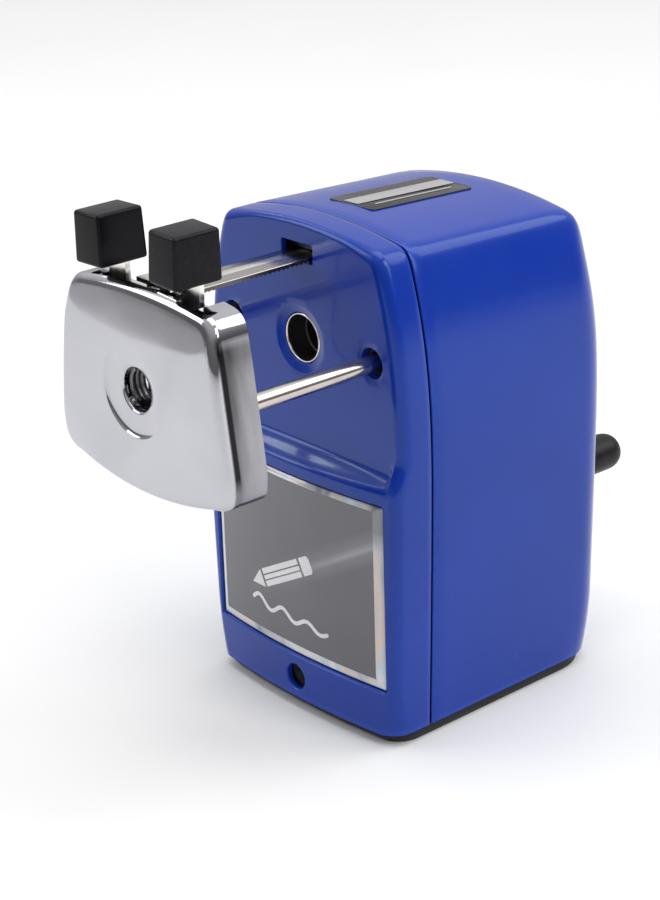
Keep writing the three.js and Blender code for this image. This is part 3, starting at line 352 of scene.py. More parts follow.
# Metals: dark and light tint, roughness, stretch of the brushing, depth and strength of the bump, grain.
NICKEL = metal("nickel_rod", (0.50, 0.45, 0.41), (0.66, 0.60, 0.56), (0.13, 0.24), (900, 10, 900), 1e-5, 0.25)
# The rail's crown gets painted shade on its flanks beside the ridge.
RAIL_TOP = metal("rail_top", (0.64, 0.60, 0.57), (0.82, 0.78, 0.75), (0.15, 0.24),
                 (700, 8, 700), 1e-5, 0.2, ridge=0.0013)
# The rail's side walls: a darker copy of its steel, as painted shade.
RAIL_WALL_SHADED = metal("rail_wall", (0.03, 0.03, 0.033), (0.16, 0.155, 0.15), (0.16, 0.3),
                  (300, 40, 300), 3e-5, 0.4)
PLATED = metal("plated_strip", (0.62, 0.60, 0.58), (0.78, 0.76, 0.73), (0.16, 0.3), (500, 500, 12), 2e-5, 0.3)
SPRING = metal("spring_wire", (0.30, 0.30, 0.31), (0.46, 0.46, 0.47), (0.22, 0.36))
ZINC = metal("die_cast_zinc", (0.40, 0.40, 0.39), (0.58, 0.58, 0.56), (0.32, 0.5), None, 6e-5, 0.5, 780)
TOOL = metal("cutter_steel", (0.10, 0.10, 0.105), (0.20, 0.20, 0.21), (0.26, 0.42), (60, 900, 60), 3e-5, 0.4)
# The guide tube's bore is coloured dark as painted shade.
BORE_SHADE = metal("bore_painted_shade", (0.14, 0.14, 0.145), (0.24, 0.24, 0.245), (0.24, 0.38),
             (60, 900, 60), 3e-5, 0.4)
# Plastics: dark and light tint, roughness, scale and depth of the texture, shine, coat.
BLACK = moulded("black_plastic", (0.004, 0.004, 0.005), (0.009, 0.009, 0.010), (0.32, 0.44), 3200, 4e-5, 0.2)
CAP = moulded("cap_plastic", (0.0025, 0.0025, 0.004), (0.005, 0.005, 0.007), (0.20, 0.28), 2600, 3e-5, 0.12)
RUBBER = moulded("foot_rubber", (0.010,) * 3, (0.020,) * 3, (0.7, 0.85), 2200, 1.2e-4, 0.3)
LABEL_DARK = moulded("label_film", (0.010, 0.009, 0.009), (0.018, 0.017, 0.017), (0.2, 0.3), 1500, 1e-5,
                     0.22, 0.12)
LABEL_LIGHT = ink("label_stripe", (0.34, 0.33, 0.34))
WHITE_INK = ink("white_print", (0.78, 0.78, 0.80))
PANE = smoked("smoked_pane", (0.105, 0.105, 0.122), (0.185, 0.185, 0.205), 0.1)
BIN = smoked("smoked_bin", (0.10, 0.10, 0.12), (0.20, 0.20, 0.22), 0.45)
BEVEL = clear_edge()

# ---- mesh tools
SAME, CLOSE = 1e-7, 2e-6  # in metres: points nearer than this become one
AXIS = 1e-5  # in millimetres: the radius of a ring that closes on its axis


@contextmanager
def editing(mesh):
    """The mesh as a bmesh, which is written back at the end."""
    form = bmesh.new()
    form.from_mesh(mesh)
    yield form
    form.to_mesh(mesh)
    form.free()


def build(name, verts, faces, weld=SAME):
    """A bare object from points in millimetres."""
    mesh = bpy.data.meshes.new(name)
    mesh.from_pydata([point(*v) for v in verts], [], faces)
    with editing(mesh) as form:
        bmesh.ops.remove_doubles(form, verts=form.verts, dist=weld)
        bmesh.ops.recalc_face_normals(form, faces=form.faces)
    return add_object(name, mesh)


def quads(rows):
    """Faces between matching open rows of vertex numbers."""
    faces = []
    for low, high in zip(rows, rows[1:]):
        for k in range(len(low) - 1):
            faces.append((low[k], low[k + 1], high[k + 1], high[k]))
    return faces


def rings(name, rows, lids=(True, True), closed=True):
    """A skin through matching rows of [x, y, z], each of them a ring if closed."""
    count = len(rows[0])
    numbers = [range(r * count, (r + 1) * count) for r in range(len(rows))]
    faces = quads([[*row, row[0]] if closed else row for row in numbers])
    faces += [tuple(numbers[end]) for end, lid in zip((0, -1), lids) if lid]
    return build(name, [p for row in rows for p in row], faces)


def arc(x, z, radius, start, end, steps):
    """Points round a circle's middle (x, z) from start to end in degrees."""
    turns = [math.radians(lerp(start, end, k / steps)) for k in range(steps + 1)]
    return [(x + radius * math.cos(a), z + radius * math.sin(a)) for a in turns]


def circle(x, z, radius, sides):
    return arc(x, z, radius, 0, 360, sides)[:-1]


def turned(name, profile, x=0.0, z=PENCIL, sides=64):
    """A profile of [radius, y] turned about a line along Y; a closed profile is a tube."""
    rows = [[[px, y, pz] for px, pz in circle(x, z, max(radius, AXIS), sides)] for radius, y in profile]
    tube = profile[0] == profile[-1]
    return rings(name, rows, (not tube, not tube))


def cylinder(radius, y0, y1, x=0.0, z=PENCIL, sides=32):
    return turned("cylinder", [[0, y0], [radius, y0], [radius, y1], [0, y1]], x, z, sides)


def prism(name, outline, y0, y1):
    """An upright outline [x, z] made solid from y0 to y1."""
    return rings(name, [[[x, y, z] for x, z in outline] for y in (y0, y1)])


def block(name, x0, x1, y0, y1, z0, z1):
    return prism(name, [[x0, z0], [x1, z0], [x1, z1], [x0, z1]], y0, y1)


def modify(target, kind, **settings):
    adjust(target.modifiers.new(kind, kind), **settings)


def freeze(target):
    """Applies every modifier."""
    depsgraph = bpy.context.evaluated_depsgraph_get()
    mesh = bpy.data.meshes.new_from_object(target.evaluated_get(depsgraph))
    target.modifiers.clear()
    old, target.data = target.data, mesh
    bpy.data.meshes.remove(old)


def carve(target, cutters, operation="DIFFERENCE", solver="EXACT"):
    """Cuts or joins each cutter in turn, and leaves the result without materials."""
    for cutter in cutters:
        modify(target, "BOOLEAN", operation=operation, solver=solver, object=cutter)
    freeze(target)
    target.data.materials.clear()
    target.data.polygons.foreach_set("material_index", [0] * len(target.data.polygons))
    for cutter in cutters:
        bpy.data.objects.remove(cutter)
    return target


def thicken(target, thickness):
    """Gives a skin a wall on its inner side."""
    modify(target, "SOLIDIFY", thickness=thickness / 1000, offset=-1, use_even_offset=True)
    freeze(target)


def round_edges(target, width, angle):
    """Bevels the edges sharper than angle."""
    limit = math.radians(angle)
    modify(target, "BEVEL", width=width / 1000, segments=2, limit_method="ANGLE", angle_limit=limit)


def shade(mesh, angle):
    """Welds stray points, and shades smooth but for edges sharper than angle."""
    with editing(mesh) as form:
        bmesh.ops.remove_doubles(form, verts=form.verts, dist=CLOSE)
        bmesh.ops.dissolve_degenerate(form, edges=form.edges, dist=CLOSE / 2)
    mesh.polygons.foreach_set("use_smooth", [True] * len(mesh.polygons))
    mesh.set_sharp_from_angle(angle=math.radians(angle))


def finish(target, material, body, slot, *nodes, angle=32.0, bevel=0.0):
    """Gives a piece its material, shading and body, and hides the nodes it stands for; slot is not used."""
    if bevel:
        round_edges(target, bevel, 35)
        freeze(target)
    shade(target.data, angle)
    if not target.data.materials:
        target.data.materials.append(material)
    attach(target, body)
    if nodes:
        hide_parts(*nodes)


def join(name, parts):
    """One object out of several bare ones."""
    mesh = bpy.data.meshes.new(name)
    with editing(mesh) as form:
        for part in parts:
            form.from_mesh(part.data)
            bpy.data.objects.remove(part)
    return add_object(name, mesh)


def curve(*controls, steps):
    """Points along a Bezier curve, with both its ends."""
    order = len(controls) - 1
    made = []
    for k in range(steps + 1):
        t = k / steps
        weights = [math.comb(order, i) * (1 - t) ** (order - i) * t ** i for i in range(order + 1)]
        made.append(tuple(sum(w * p[n] for w, p in zip(weights, controls)) for n in (0, 1)))
    return made


def round_corners(x0, x1, z0, z1, radius, steps):
    """A rectangle's corners, anticlockwise from the lower right, as lists of (x, z)."""
    right, left, low, high = x1 - radius, x0 + radius, z0 + radius, z1 - radius
    middles = ((right, low), (right, high), (left, high), (left, low))
    return [arc(x, z, radius, 90 * k - 90, 90 * k, steps) for k, (x, z) in enumerate(middles)]


# ---- the housing's form
def up_side(z):
    """0 where the case is widest, 1 at its shoulder."""
    return min(1.0, max(0.0, (z - WIDEST) / (SHOULDER - WIDEST)))


def half_width(z):
    if z < WIDEST:
        return HALF_WIDTH - 1.6 * ((WIDEST - z) / WIDEST) ** 1.3
    return HALF_WIDTH - 4.4 * up_side(z) ** 2.6


def roof(x):
    return ROOF - x * x / 208


def bow(x):
    """How far the drawer's front curves back at x."""
    return x * x / 380


def foot_growth(z):
    """What the corners' radius gains towards the foot."""
    return 4 * max(0.0, 1 - z / 18) ** 2


def half_outline():
    """The right half of the housing's upright outline, from its foot up, as (x, z)."""
    points = []
    z = FOOT
    while z < CORNER_Z:
        points.append((half_width(z), z))
        z += 1.1 if z < 18 else 2.0
    start, end = (half_width(CORNER_Z), CORNER_Z), (CORNER_X, roof(CORNER_X))
    points += curve(start, (24.47, 105.13), (24.2, 105.09), end, steps=16)
    for i in range(1, 15):
        x = CORNER_X * (1 - i / 14)
        points.append((x, roof(x)))
    return points


def inward_normals(points):
    """Inward unit normals along the right half outline."""
    made = []
    for i in range(len(points)):
        (ax, az), (bx, bz) = points[max(0, i - 1)], points[min(len(points) - 1, i + 1)]
        dx, dz = bx - ax, bz - az
        length = math.hypot(dx, dz)
        made.append((-dz / length, dx / length))
    made[0], made[-1] = (-1.0, 0.0), (0.0, -1.0)
    return made


OUTLINE = half_outline()
EDGE = list(zip(OUTLINE, inward_normals(OUTLINE)))


def mirrored(right):
    """A whole row of [x, y, z] from its right half, which runs up to x = 0."""
    return right + [[-x, y, z] for x, y, z in right[-2::-1]]


def inset_row(y, inset, lowest=0.0):
    """The housing's outline at y, drawn in by inset, above the height lowest."""
    return mirrored([[x + nx * inset, y, z + nz * inset] for (x, z), (nx, nz) in EDGE if z > lowest])


def capped_skin(name, rows, cap):
    """A skin through the housing's rows, closed by a cap's straight rows and a fan above them."""
    verts = []

    def numbered(row):
        verts.extend(row)
        return range(len(verts) - len(row), len(verts))

    faces = quads([numbered(row) for row in rows])
    grid = [numbered(row) for row in cap]
    faces += quads(grid)
    tip = numbered([rows[-1][len(OUTLINE) - 1]])[0]
    faces += [(a, b, tip) for a, b in zip(grid[-1], grid[-1][1:])]
    return build(name, verts, faces, CLOSE)


# ---- front case
def front_face(x, z):
    """How far back the front lies: bowed round the drawer, and flat at the dock above the ledge."""
    rise = min(1.0, max(0.0, (z - LEDGE_FOOT) / (LEDGE_TOP - LEDGE_FOOT)))
    ledge = rise - 0.09 * math.sin(2 * math.pi * rise)
    # Beside the ledge the corner eases back instead.
    share = lerp(ledge, smooth(56.2, 64.5, z), smooth(26.4, 28.0, abs(x)))
    return lerp(bow(x), DOCK, share)


def roll_radius(x, z):
    """The radius of the front's edge: larger at the foot, smaller along the roof."""
    if z < 90:
        return FRONT_ROLL + foot_growth(z)
    return lerp(FRONT_ROLL, ROOF_ROLL, smooth(25, 12, abs(x)) if z > SHOULDER else 0.0)


def case_rows():
    """Rows from the front case's back edge forwards and over its rolled front edge."""
    back = SEAM - HALF_GAP
    steps = ((back, 0.35), (back - 0.12, 0.12), (back - 0.38, 0.0), (10.6, 0.0), (9.2, 0.0))
    rows = [inset_row(y, inset) for y, inset in steps]
    for k in range(10):
        a = math.pi / 2 * k / 9
        row = []
        for (x, z), (nx, nz) in EDGE:
            radius = roll_radius(x, z)
            face = front_face(x + nx * radius, z + nz * radius)
            move = radius * (1 - math.cos(a))
            row.append([x + nx * move, face + radius * (1 - math.sin(a)), z + nz * move])
        rows.append(mirrored(row))
    return rows


def front_rows(rim):
    """Straight rows across the front, close together about the ledge."""
    ends = [(x, z) for x, _, z in rim[:len(OUTLINE) - 1]]
    levels = []
    for (x, z), (next_x, next_z) in zip(ends, ends[1:]):
        steps = 6 if 54 < z < 66 else 1
        levels += [(lerp(x, next_x, k / steps), lerp(z, next_z, k / steps)) for k in range(steps)]
    levels.append(ends[-1])
    across = 44
    rows = []
    for end, z in levels:
        row = []
        for k in range(across + 1):
            t = k / across
            # Bunched towards both ends, where the ledge curls up.
            t -= 0.62 * math.sin(2 * math.pi * t) / (2 * math.pi)
            x = lerp(end, -end, t)
            row.append([x, front_face(x, z), z])
        rows.append(row)
    return rows


def bowed_rectangle(half, z0, z1, dy, radius):
    """A rounded rectangle dy behind the bowed front, as a ring of [x, y, z]."""
    corners = round_corners(-half, half, z0, z1, radius, 4)
    flat = []
    for index, corner in enumerate(corners):
        (x, z), (next_x, next_z) = corner[-1], corners[(index + 1) % 4][0]
        # The long top and bottom need points enough to follow the bow.
        steps = 16 if index % 2 else 4
        flat += corner
        flat += [(lerp(x, next_x, k / steps), lerp(z, next_z, k / steps)) for k in range(1, steps)]
    return [[x, bow(x) + dy, z] for x, z in flat]


def opening(half, z0, z1, steps, bowed=True):
    """A cutter for a rounded rectangular opening; a step is (y, how much wider, corner radius)."""
    rows = []
    for y, grow, radius in steps:
        row = bowed_rectangle(half + grow, z0 - grow, z1 + grow, y, radius)
        rows.append(row if bowed else [[x, y, z] for x, _, z in row])
    return rings("cut", rows)


def case_bosses():
    """Pads behind the front for the guide tube, the rods and the toothed ring's screws."""
    front, back = 5.2, 12
    bosses = [cylinder(7.4, front, back)]
    bosses += [cylinder(4.6, front, back, x, sides=28) for x in (-ROD_X, ROD_X)]
    for degrees in (30, 150, 270):
        a = math.radians(degrees)
        x, z = 12.2 * math.cos(a), PENCIL + 12.2 * math.sin(a)
        bosses.append(cylinder(2.6, front, 13.1, x, z, 20))
    return bosses


def case_openings():
    """Cutters for the front's openings, each with a rounded edge."""
    tube_hole = [[0, 3], [7.4, 3], [7.4, 4.48], [7.1, 4.58], [6.5, 4.78], [5.9, 4.95], [5.55, 5.05],
                 [5.42, 5.25], [5.42, 15], [0, 15]]
    rod_hole = [[0, 3], [3.5, 3], [3.5, 4.48], [3.25, 4.62], [3.1, 4.9], [3.1, 15], [0, 15]]
    clamp_hole = [[0, -2], [3.1, -2], [3.1, 0.0], [2.9, 0.15], [2.8, 0.4], [2.8, 8], [0, 8]]
    drawer = ((-2.0, 0.45, 0.9), (-0.05, 0.45, 0.9), (0.28, 0.12, 0.6), (0.7, 0.0, 0.5), (9, 0.0, 0.5))
    rail = ((3, 0.3, 0.55), (4.42, 0.3, 0.55), (4.7, 0.0, 0.35), (9, 0.0, 0.35))
    return [
        opening(26.5, 12.9, 54.3, drawer),
        turned("cut", clamp_hole, 0, 7.4, 48),
        turned("cut", tube_hole, sides=72),
        turned("cut", rod_hole, -ROD_X, sides=48),
        turned("cut", rod_hole, ROD_X, sides=48),
        opening(4.65, 99.4, 103.1, rail, bowed=False),
    ]


def make_front_case():
    rows = case_rows()
    case = capped_skin("front_case_painted", rows, front_rows(rows[-1]))
    thicken(case, CASE_WALL)
    carve(case, case_bosses(), "UNION", "MANIFOLD")
    carve(case, case_openings(), solver="MANIFOLD")
    finish(case, BLUE, "housing", "blue_paint", "front_case", angle=35)


def make_seam_lip():
    """The front case's lip, which slides into the cover; it is coloured black as painted shade in the seam.
    """
    steps = ((9.6, 1.5), (16, 1.5), (16, 2.7), (9.6, 2.7), (9.6, 1.5))
    rows = [inset_row(y, inset, lowest=12) for y, inset in steps]
    lip = rings("seam_lip", rows, (False, False), closed=False)
    # Black here is painted shade in the seam; the lip belongs to the blue-painted case.
    finish(lip, BLACK, "housing", "blue_paint")


# ---- cover
def cover_row(y, inset=0.0):
    """The cover at y: its back edge turns in all round, and its roof falls a little towards it."""

    def turn_in(radius):
        into = max(0.0, y - (DEPTH - radius))
        return radius - math.sqrt(max(0.0, radius ** 2 - into ** 2))

    row = []
    for (x, z), (nx, nz) in EDGE:
        narrowing = turn_in(8 + foot_growth(z)) / half_width(min(z, SHOULDER))
        drop = 0.9 * up_side(z) ** 1.7 + 0.1 * smooth(SHOULDER, 107, z)
        fall = ROOF_FALL * max(0.0, y - SEAM) * smooth(70, SHOULDER, z)
        height = z - turn_in(BACK_ROLL) * drop - fall
        row.append([x * (1 - narrowing) + nx * inset, y, height + nz * inset])
    return mirrored(row)


def make_cover():
    front = SEAM + HALF_GAP
    # The first two rows round the front edge over into the seam.
    rows = [cover_row(front, 0.32), cover_row(front + 0.12, 0.1)]
    rows += [cover_row(y) for y in (front + 0.35, 16, 21, 27, 33, 39, 44, 48, 51, 53)]
    for degrees in range(10, 91, 8):
        rows.append(cover_row(DEPTH - BACK_ROLL * (1 - math.sin(math.radians(degrees)))))
    across = 12
    cap = [[[lerp(x, -x, k / across), y, z] for k in range(across + 1)]
           for x, y, z in rows[-1][:len(OUTLINE) - 1]]
    cover = capped_skin("cover_painted", rows, cap)
    thicken(cover, COVER_WALL)
    carve(cover, [cylinder(16.2, 57, 67, sides=72)])
    finish(cover, BLUE, "housing", "blue_paint", "cover_shell", angle=35)


# ---- base
BASE_SCREWS = [(-23.4, 9), (23.4, 9), (-21, 52), (21, 52)]


def floor_outline(inset, front_inset):
    """The case's outline on the floor, drawn in, as (x, y)."""
    half, back = half_width(FOOT) - inset, DEPTH - inset
    front, rear = 6.6 - inset, 12 - inset
    right = []
    for i in range(9):
        x = (half - front) * i / 8
        right.append((x, bow(x) + front_inset))
    right += arc(half - front, right[-1][1] + front, front, -90, 0, 12)[1:]
    right += arc(half - rear, back - rear, rear, 0, 90, 14)
    return right + [(-x, y) for x, y in right[:0:-1]]


def floor_slab(name, steps, side_inset, front_inset, hole):
    """A slab with a hole round each base screw; a step is (z, how much further in)."""
    rows = []
    for z, inset in steps:
        rows.append([[x, y, z] for x, y in floor_outline(side_inset + inset, front_inset + inset)])
    top = math.ceil(steps[-1][0])
    cutters = []
    for screw_x, screw_y in BASE_SCREWS:
        outline = circle(screw_x, screw_y, hole, 36)
        cutters.append(rings("cut", [[[x, y, z] for x, y in outline] for z in (-1, top)]))
    return carve(rings(name, rows), cutters)


def make_base():
    sole = floor_slab("sole", ((0.0, 0.25), (0.25, 0.0), (1.0, 0.0), (1.2, 0.12)), 0.9, 2.4, 3.6)
    finish(sole, RUBBER, "housing", "rubber", "rubber_sole")
    rim = floor_slab("base_rim", ((1.2, 0.15), (1.35, 0.0), (2.5, 0.0), (2.64, 0.1)), 0.7, 1.2, 3.0)
    finish(rim, BLACK, "housing", "black_plastic")


# ---- guides
def make_guide_tube():
    """The pencil's tube: bright outside and on its inner lip, and coloured dark in its bore as painted shade.
    """
    tube = turned("guide_bush_turned", [
        [4.82, 5.6], [4.86, 5.34], [4.94, 5.24], [5.1, 5.24], [5.22, 5.34], [5.36, 5.6], [5.36, 23.4],
        [4.5, 23.4], [4.5, 10.6], [4.6, 10.25], [4.74, 10.2], [4.8, 10.0], [4.8, 5.8], [4.82, 5.6],
    ], sides=80)
    tube.data.materials.append(NICKEL)
    tube.data.materials.append(BORE_SHADE)
    for polygon in tube.data.polygons:
        x, y, z = millimetres(polygon.center)
        in_bore = math.hypot(x, z - PENCIL) < 4.815
        on_lip = 10.15 < y < 10.6
        polygon.material_index = int(in_bore and not on_lip)
    finish(tube, NICKEL, "housing", "bright_steel", "pencil_guide_bush")


def make_rods():
    for side, word in SIDES:
        x = side * ROD_X
        sleeve = turned(f"rod_sleeve_{word}", [
            [1.92, 6.6], [2.1, 6.3], [2.75, 6.3], [3.0, 6.5], [3.03, 6.8], [3.03, 16], [1.92, 16],
            [1.92, 6.6],
        ], x)
        finish(sleeve, BLACK, "housing", "black_plastic", f"rod_bush_{word}")
        rod = turned(f"slide_rod_{word}", [
            [0, -29.8], [2.0, -29.8], [2.45, -29.6], [2.6, -29.3], [2.6, -28.7], [1.8, -28.7], [1.8, 29.2],
            [1.35, 29.3], [1.35, 30.2], [1.8, 30.3], [1.8, 31], [1.45, 31.4], [0, 31.4],
        ], x, sides=48)
        finish(rod, NICKEL, "feed_carriage", "bright_steel", f"guide_rod_{word}")


def make_rail():
    """A ridged channel; the side walls end in fine ratchet teeth and are coloured darker as painted shade."""
    front, back, pitch, tooth = -29.3, 14.0, 1.15, 0.27
    low, high = 99.8, 100.72
    outline = [[front, high], [front, low]]
    y = front + 6.0
    while y < back - 2:
        outline += [[y, low], [y + pitch * 0.8, low + tooth], [y + pitch * 0.82, low]]
        y += pitch
    outline += [[back, low], [back, high]]
    for side, word in SIDES:
        rows = [[[side * x, y, z] for y, z in outline] for x in (4.1, 3.5)]
        wall = rings(f"rail_wall_{word}", rows)
        finish(wall, RAIL_WALL_SHADED, "feed_carriage", "bright_steel", angle=25)
    right = [[0.9, 101.09], [1.35, 101.03], [3.7, 100.85], [4.0, 100.80], [4.1, 100.70], [3.5, 100.60]]
    section = [[-x, z] for x, z in right[-2::-1]] + right + [[-3.5, 100.60]]
    ends = ((front, 0.93), (front + 0.3, 1.0), (back - 0.3, 1.0), (back, 0.93))
    rows = [[[x * share, y, lerp(100.7, z, share)] for x, z in section] for y, share in ends]
    crown = rings("rail_crown", rows)
    finish(crown, RAIL_TOP, "feed_carriage", "bright_steel", "latch_rail", angle=18)


# ---- clamp cover
PLATE_BACK = -27.2
PLATE_FRONT = -37.75
PLATE_MIDDLE = 82.0
PLATE_ROLL = 1.7
DISH, HOLE = 9.6, 4.4  # radii of the dish round the pencil hole, and of the hole
DISH_STEPS = (  # radius, and depth on the dish's crisp side
    (9.5, 0.03), (9.35, 0.15), (9.05, 0.33), (8.5, 0.50), (7.6, 0.66), (6.6, 0.79), (5.8, 0.89), (5.1, 0.96),
    (4.85, 1.00), (4.6, 1.12), (4.44, 1.35), (HOLE, 1.6), (HOLE, 2.3), (HOLE, 3.0),
)


def plate_outline():
    """The cover's outline, anticlockwise from the bottom middle, as (x, z)."""

    def bottom(x):
        return 61.1 + x * x / 170

    def top(x):
        return 103.4 - x * x / 220

    low, high = (21.6, bottom(21.6)), (18.4, top(18.4))
    right = [(2.7 * k, bottom(2.7 * k)) for k in range(1, 8)]
    right += curve(low, (26.8, 64.2), (26.9, 68.3), steps=9)[:-1]
    right += [(26.98, 69.2), (27.03, 70.1), (27.0, 71.2), (26.85, 72.6), (26.6, 74.4), (26.3, 76.6)]
    right += [(lerp(25.95, 24.3, k / 5), lerp(79, 90.5, k / 5)) for k in range(6)]
    right += [(23.78, 93.8)]
    right += curve((23.2, 97), (22.8, 101.5), high, steps=9)
    right += [(x, top(x)) for x in (15.4, 12.4, 9.3, 6.2, 3.1)]
    left = [(-x, z) for x, z in reversed(right)]
    return [(0.0, bottom(0)), *right, (0.0, top(0)), *left]


def plate_face(x, z):
    """Where the cover's gently domed face lies; above a bowed line it leans back."""
    rise = z - PLATE_MIDDLE
    over = max(0.0, rise - 7.5 - 0.0035 * x * x)
    lean = 0.02 * over * over if over < 4 else 0.32 + 0.16 * (over - 4)
    return PLATE_FRONT + 0.0018 * x * x + 0.0021 * rise * rise + lean


def shrunk(points, distance):
    """An outline drawn in towards the plate's middle."""
    made = []
    for x, z in points:
        rise = z - PLATE_MIDDLE
        share = 1 - distance / math.hypot(x, rise)
        made.append((x * share, PLATE_MIDDLE + rise * share))
    return made


def plate_walls(points):
    """Rows along the walls and over the rolled front edge."""
    rows = [[[x, PLATE_BACK, z] for x, z in points]]
    for y in (-29, -31, -33):
        rows.append([[x, min(y, plate_face(x, z) + 2.2), z] for x, z in points])
    for k in range(10):
        a = math.pi / 2 * k / 9
        ring = shrunk(points, PLATE_ROLL * (1 - math.cos(a)))
        behind = PLATE_ROLL * (1 - math.sin(a)) * 0.95
        rows.append([[x, plate_face(x, z) + behind, z] for x, z in ring])
    return rows


def plate_flat(edge, rays):
    """Rows from the rolled edge in to the dish."""
    rows = []
    for k in range(1, 15):
        row = []
        for (start_x, start_z), (across, up) in zip(edge, rays):
            x = lerp(start_x, DISH * across, k / 14)
            z = lerp(start_z, PENCIL + DISH * up, k / 14)
            row.append([x, plate_face(x, z), z])
        rows.append(row)
    return rows


def plate_dish(rays):
    """Rows down the shallow dish and through the rolled rim of the pencil hole."""
    rows = []
    for radius, deep in DISH_STEPS:
        eased = deep if radius < 4.9 else ((DISH - radius) / (DISH - 4.85)) ** 2
        reach = max(radius, 5)
        row = []
        for across, up in rays:
            base = plate_face(reach * across, PENCIL + reach * up)
            # The dish starts with a crisp edge at the lower left and eases in at the upper right.
            share = smooth(-0.35, 0.5, 0.7 * across + 0.7 * up)
            row.append([radius * across, base + lerp(deep, eased, share), PENCIL + radius * up])
        rows.append(row)
    return rows


def make_plate_cover():
    points = plate_outline()
    edge = shrunk(points, PLATE_ROLL)
    headings = [math.atan2(z - PENCIL, x) for x, z in edge]
    rays = [(math.cos(a), math.sin(a)) for a in headings]
    rows = plate_walls(points) + plate_flat(edge, rays) + plate_dish(rays)
    shell = rings("clamp_cover_chromed", rows, (False, False))
    thicken(shell, PLATE_WALL)
    carve(shell, [block("cut", -16.4, 16.4, -34, -26, 99.5, 108)])
    finish(shell, CHROME_COVER, "feed_carriage", "chrome_plate", "faceplate_cover", angle=40)


# ---- caps
CAP_WIDTH, CAP_DEPTH, CAP_HEIGHT = 8.3, 10.96, 10.5
CAP_Y, CAP_Z = -32.2, 111.4
PIVOT_X, PIVOT_Z = 11, 92  # the lever's pin
LEVER_LEAN = math.atan2(0.7, 19.6)
LEFT_CAP_LOWER = 0.7


def make_caps():
    for side, word in SIDES:
        mesh = bpy.data.meshes.new("cap")
        with editing(mesh) as form:
            shape_cap(form, side)
        cap = add_object(f"squeeze_cap_{word}", mesh)
        finish(cap, CAP, f"{word}_lever", "cap_plastic", f"lever_cap_{word}", angle=60)


def shape_cap(form, side):
    """A rounded block, wider at its foot, that leans with its lever."""
    bmesh.ops.create_cube(form, size=1.0)
    for vertex in form.verts:
        x, y, z = vertex.co
        share = 1 - 0.05 * z
        vertex.co = (x * CAP_WIDTH * share, y * CAP_DEPTH * share, z * CAP_HEIGHT)
    bmesh.ops.bevel(form, geom=form.edges[:], offset=0.75, segments=5, profile=0.55, affect="EDGES")
    turn = Matrix.Rotation(LEVER_LEAN, 4, "Y")
    up = CAP_Z - PIVOT_Z - (LEFT_CAP_LOWER if side < 0 else 0.0)
    for vertex in form.verts:
        x, y, z = vertex.co
        # The top falls off a little towards its edges, which keeps it from looking machined.
        crown = 0.10 * ((x / 4) ** 2 + (y / 5.4) ** 2) * max(0.0, z / 5.1)
        placed = turn @ Vector((x, y, z - crown + up))
        vertex.co = point(side * (placed.x + PIVOT_X), placed.y + CAP_Y, placed.z + PIVOT_Z)
    bmesh.ops.recalc_face_normals(form, faces=form.faces)


# ---- drawer window
PANE_HALF, PANE_LOW, PANE_HIGH = 26.2, 13.2, 54.0
STRIP = 2.1  # width of the bevelled border
INNER = STRIP + 0.3
PANE_STEPS = (  # inset, and depth behind the bowed front
    (0.0, 2.9), (0.0, 0.62), (0.12, 0.52), (0.8, 0.28), (1.05, 0.27), (STRIP - 0.12, 0.05), (STRIP, 0.0),
    (INNER, 0.02),
)


def pane_bounds(inset):
    """The pane's half width, bottom and top, drawn in; its top border is half as wide."""
    return PANE_HALF - inset, PANE_LOW + inset, PANE_HIGH - inset * 0.5


def make_pane():
    """The pane's rim with its polished bevels, open where the middle sheet fits."""
    rows = [bowed_rectangle(*pane_bounds(inset), dy, 0.35) for inset, dy in PANE_STEPS]
    pane = rings("window_pane", rows, (True, False))
    pane.data.materials.append(PANE)
    pane.data.materials.append(BEVEL)
    half, low, high = pane_bounds(STRIP)
    for polygon in pane.data.polygons:
        x, y, z = millimetres(polygon.center)
        on_border = abs(x) > half or z < low or z > high
        polygon.material_index = int(on_border and 0.02 < y - bow(x) < 0.9)
    finish(pane, PANE, "drawer", "smoked_plastic", "drawer_window", angle=20)


def make_pane_middle():
    """The middle of the pane, in upright strips that follow the bow."""
    half, low, high = pane_bounds(INNER)
    places = [lerp(-half, half, k / 32) for k in range(33)]
    rows = [[[x, bow(x) + 0.02, z] for x in places] for z in (low, high)]
    middle = rings("window_middle", rows, (False, False), closed=False)
    finish(middle, PANE, "drawer", "smoked_plastic", angle=40)


def printed(outline):
    """An inked shape on the window, cut into strips about 1 mm wide so that it follows the bow."""
    lift, thickness = -0.07, 0.08
    shape = prism("print", outline, -1, 1)
    low, high = min(x for x, _ in outline), max(x for x, _ in outline)
    count = max(1, round(high - low))
    with editing(shape.data) as form:
        for k in range(1, count):
            place = point(lerp(low, high, k / count), 0, 0)
            parts = form.verts[:] + form.edges[:] + form.faces[:]
            bmesh.ops.bisect_plane(form, geom=parts, dist=SAME, plane_co=place, plane_no=(1, 0, 0))
        for vertex in form.verts:
            x, y, z = millimetres(vertex.co)
            vertex.co = point(x, bow(x) + lift + (0 if y < 0 else thickness), z)
    return shape


def round_end(tip, before, radius):
    """Points round the end of a line, as (x, z)."""
    heading = math.degrees(math.atan2(tip[1] - before[1], tip[0] - before[0]))
    return arc(*tip, radius, heading + 60, heading - 60, 4)


def ribbon(path, width):
    """A printed line along a path of (x, z), with round ends."""
    radius = width / 2
    left, right = [], []
    for i, (x, z) in enumerate(path):
        ax, az = path[max(0, i - 1)]
        bx, bz = path[min(len(path) - 1, i + 1)]
        length = math.hypot(bx - ax, bz - az)
        nx, nz = -(bz - az) / length, (bx - ax) / length
        left.append((x + nx * radius, z + nz * radius))
        right.append((x - nx * radius, z - nz * radius))
    tip = round_end(path[-1], path[-2], radius)
    tail = round_end(path[0], path[1], radius)
    return printed(left + tip + right[::-1] + tail)


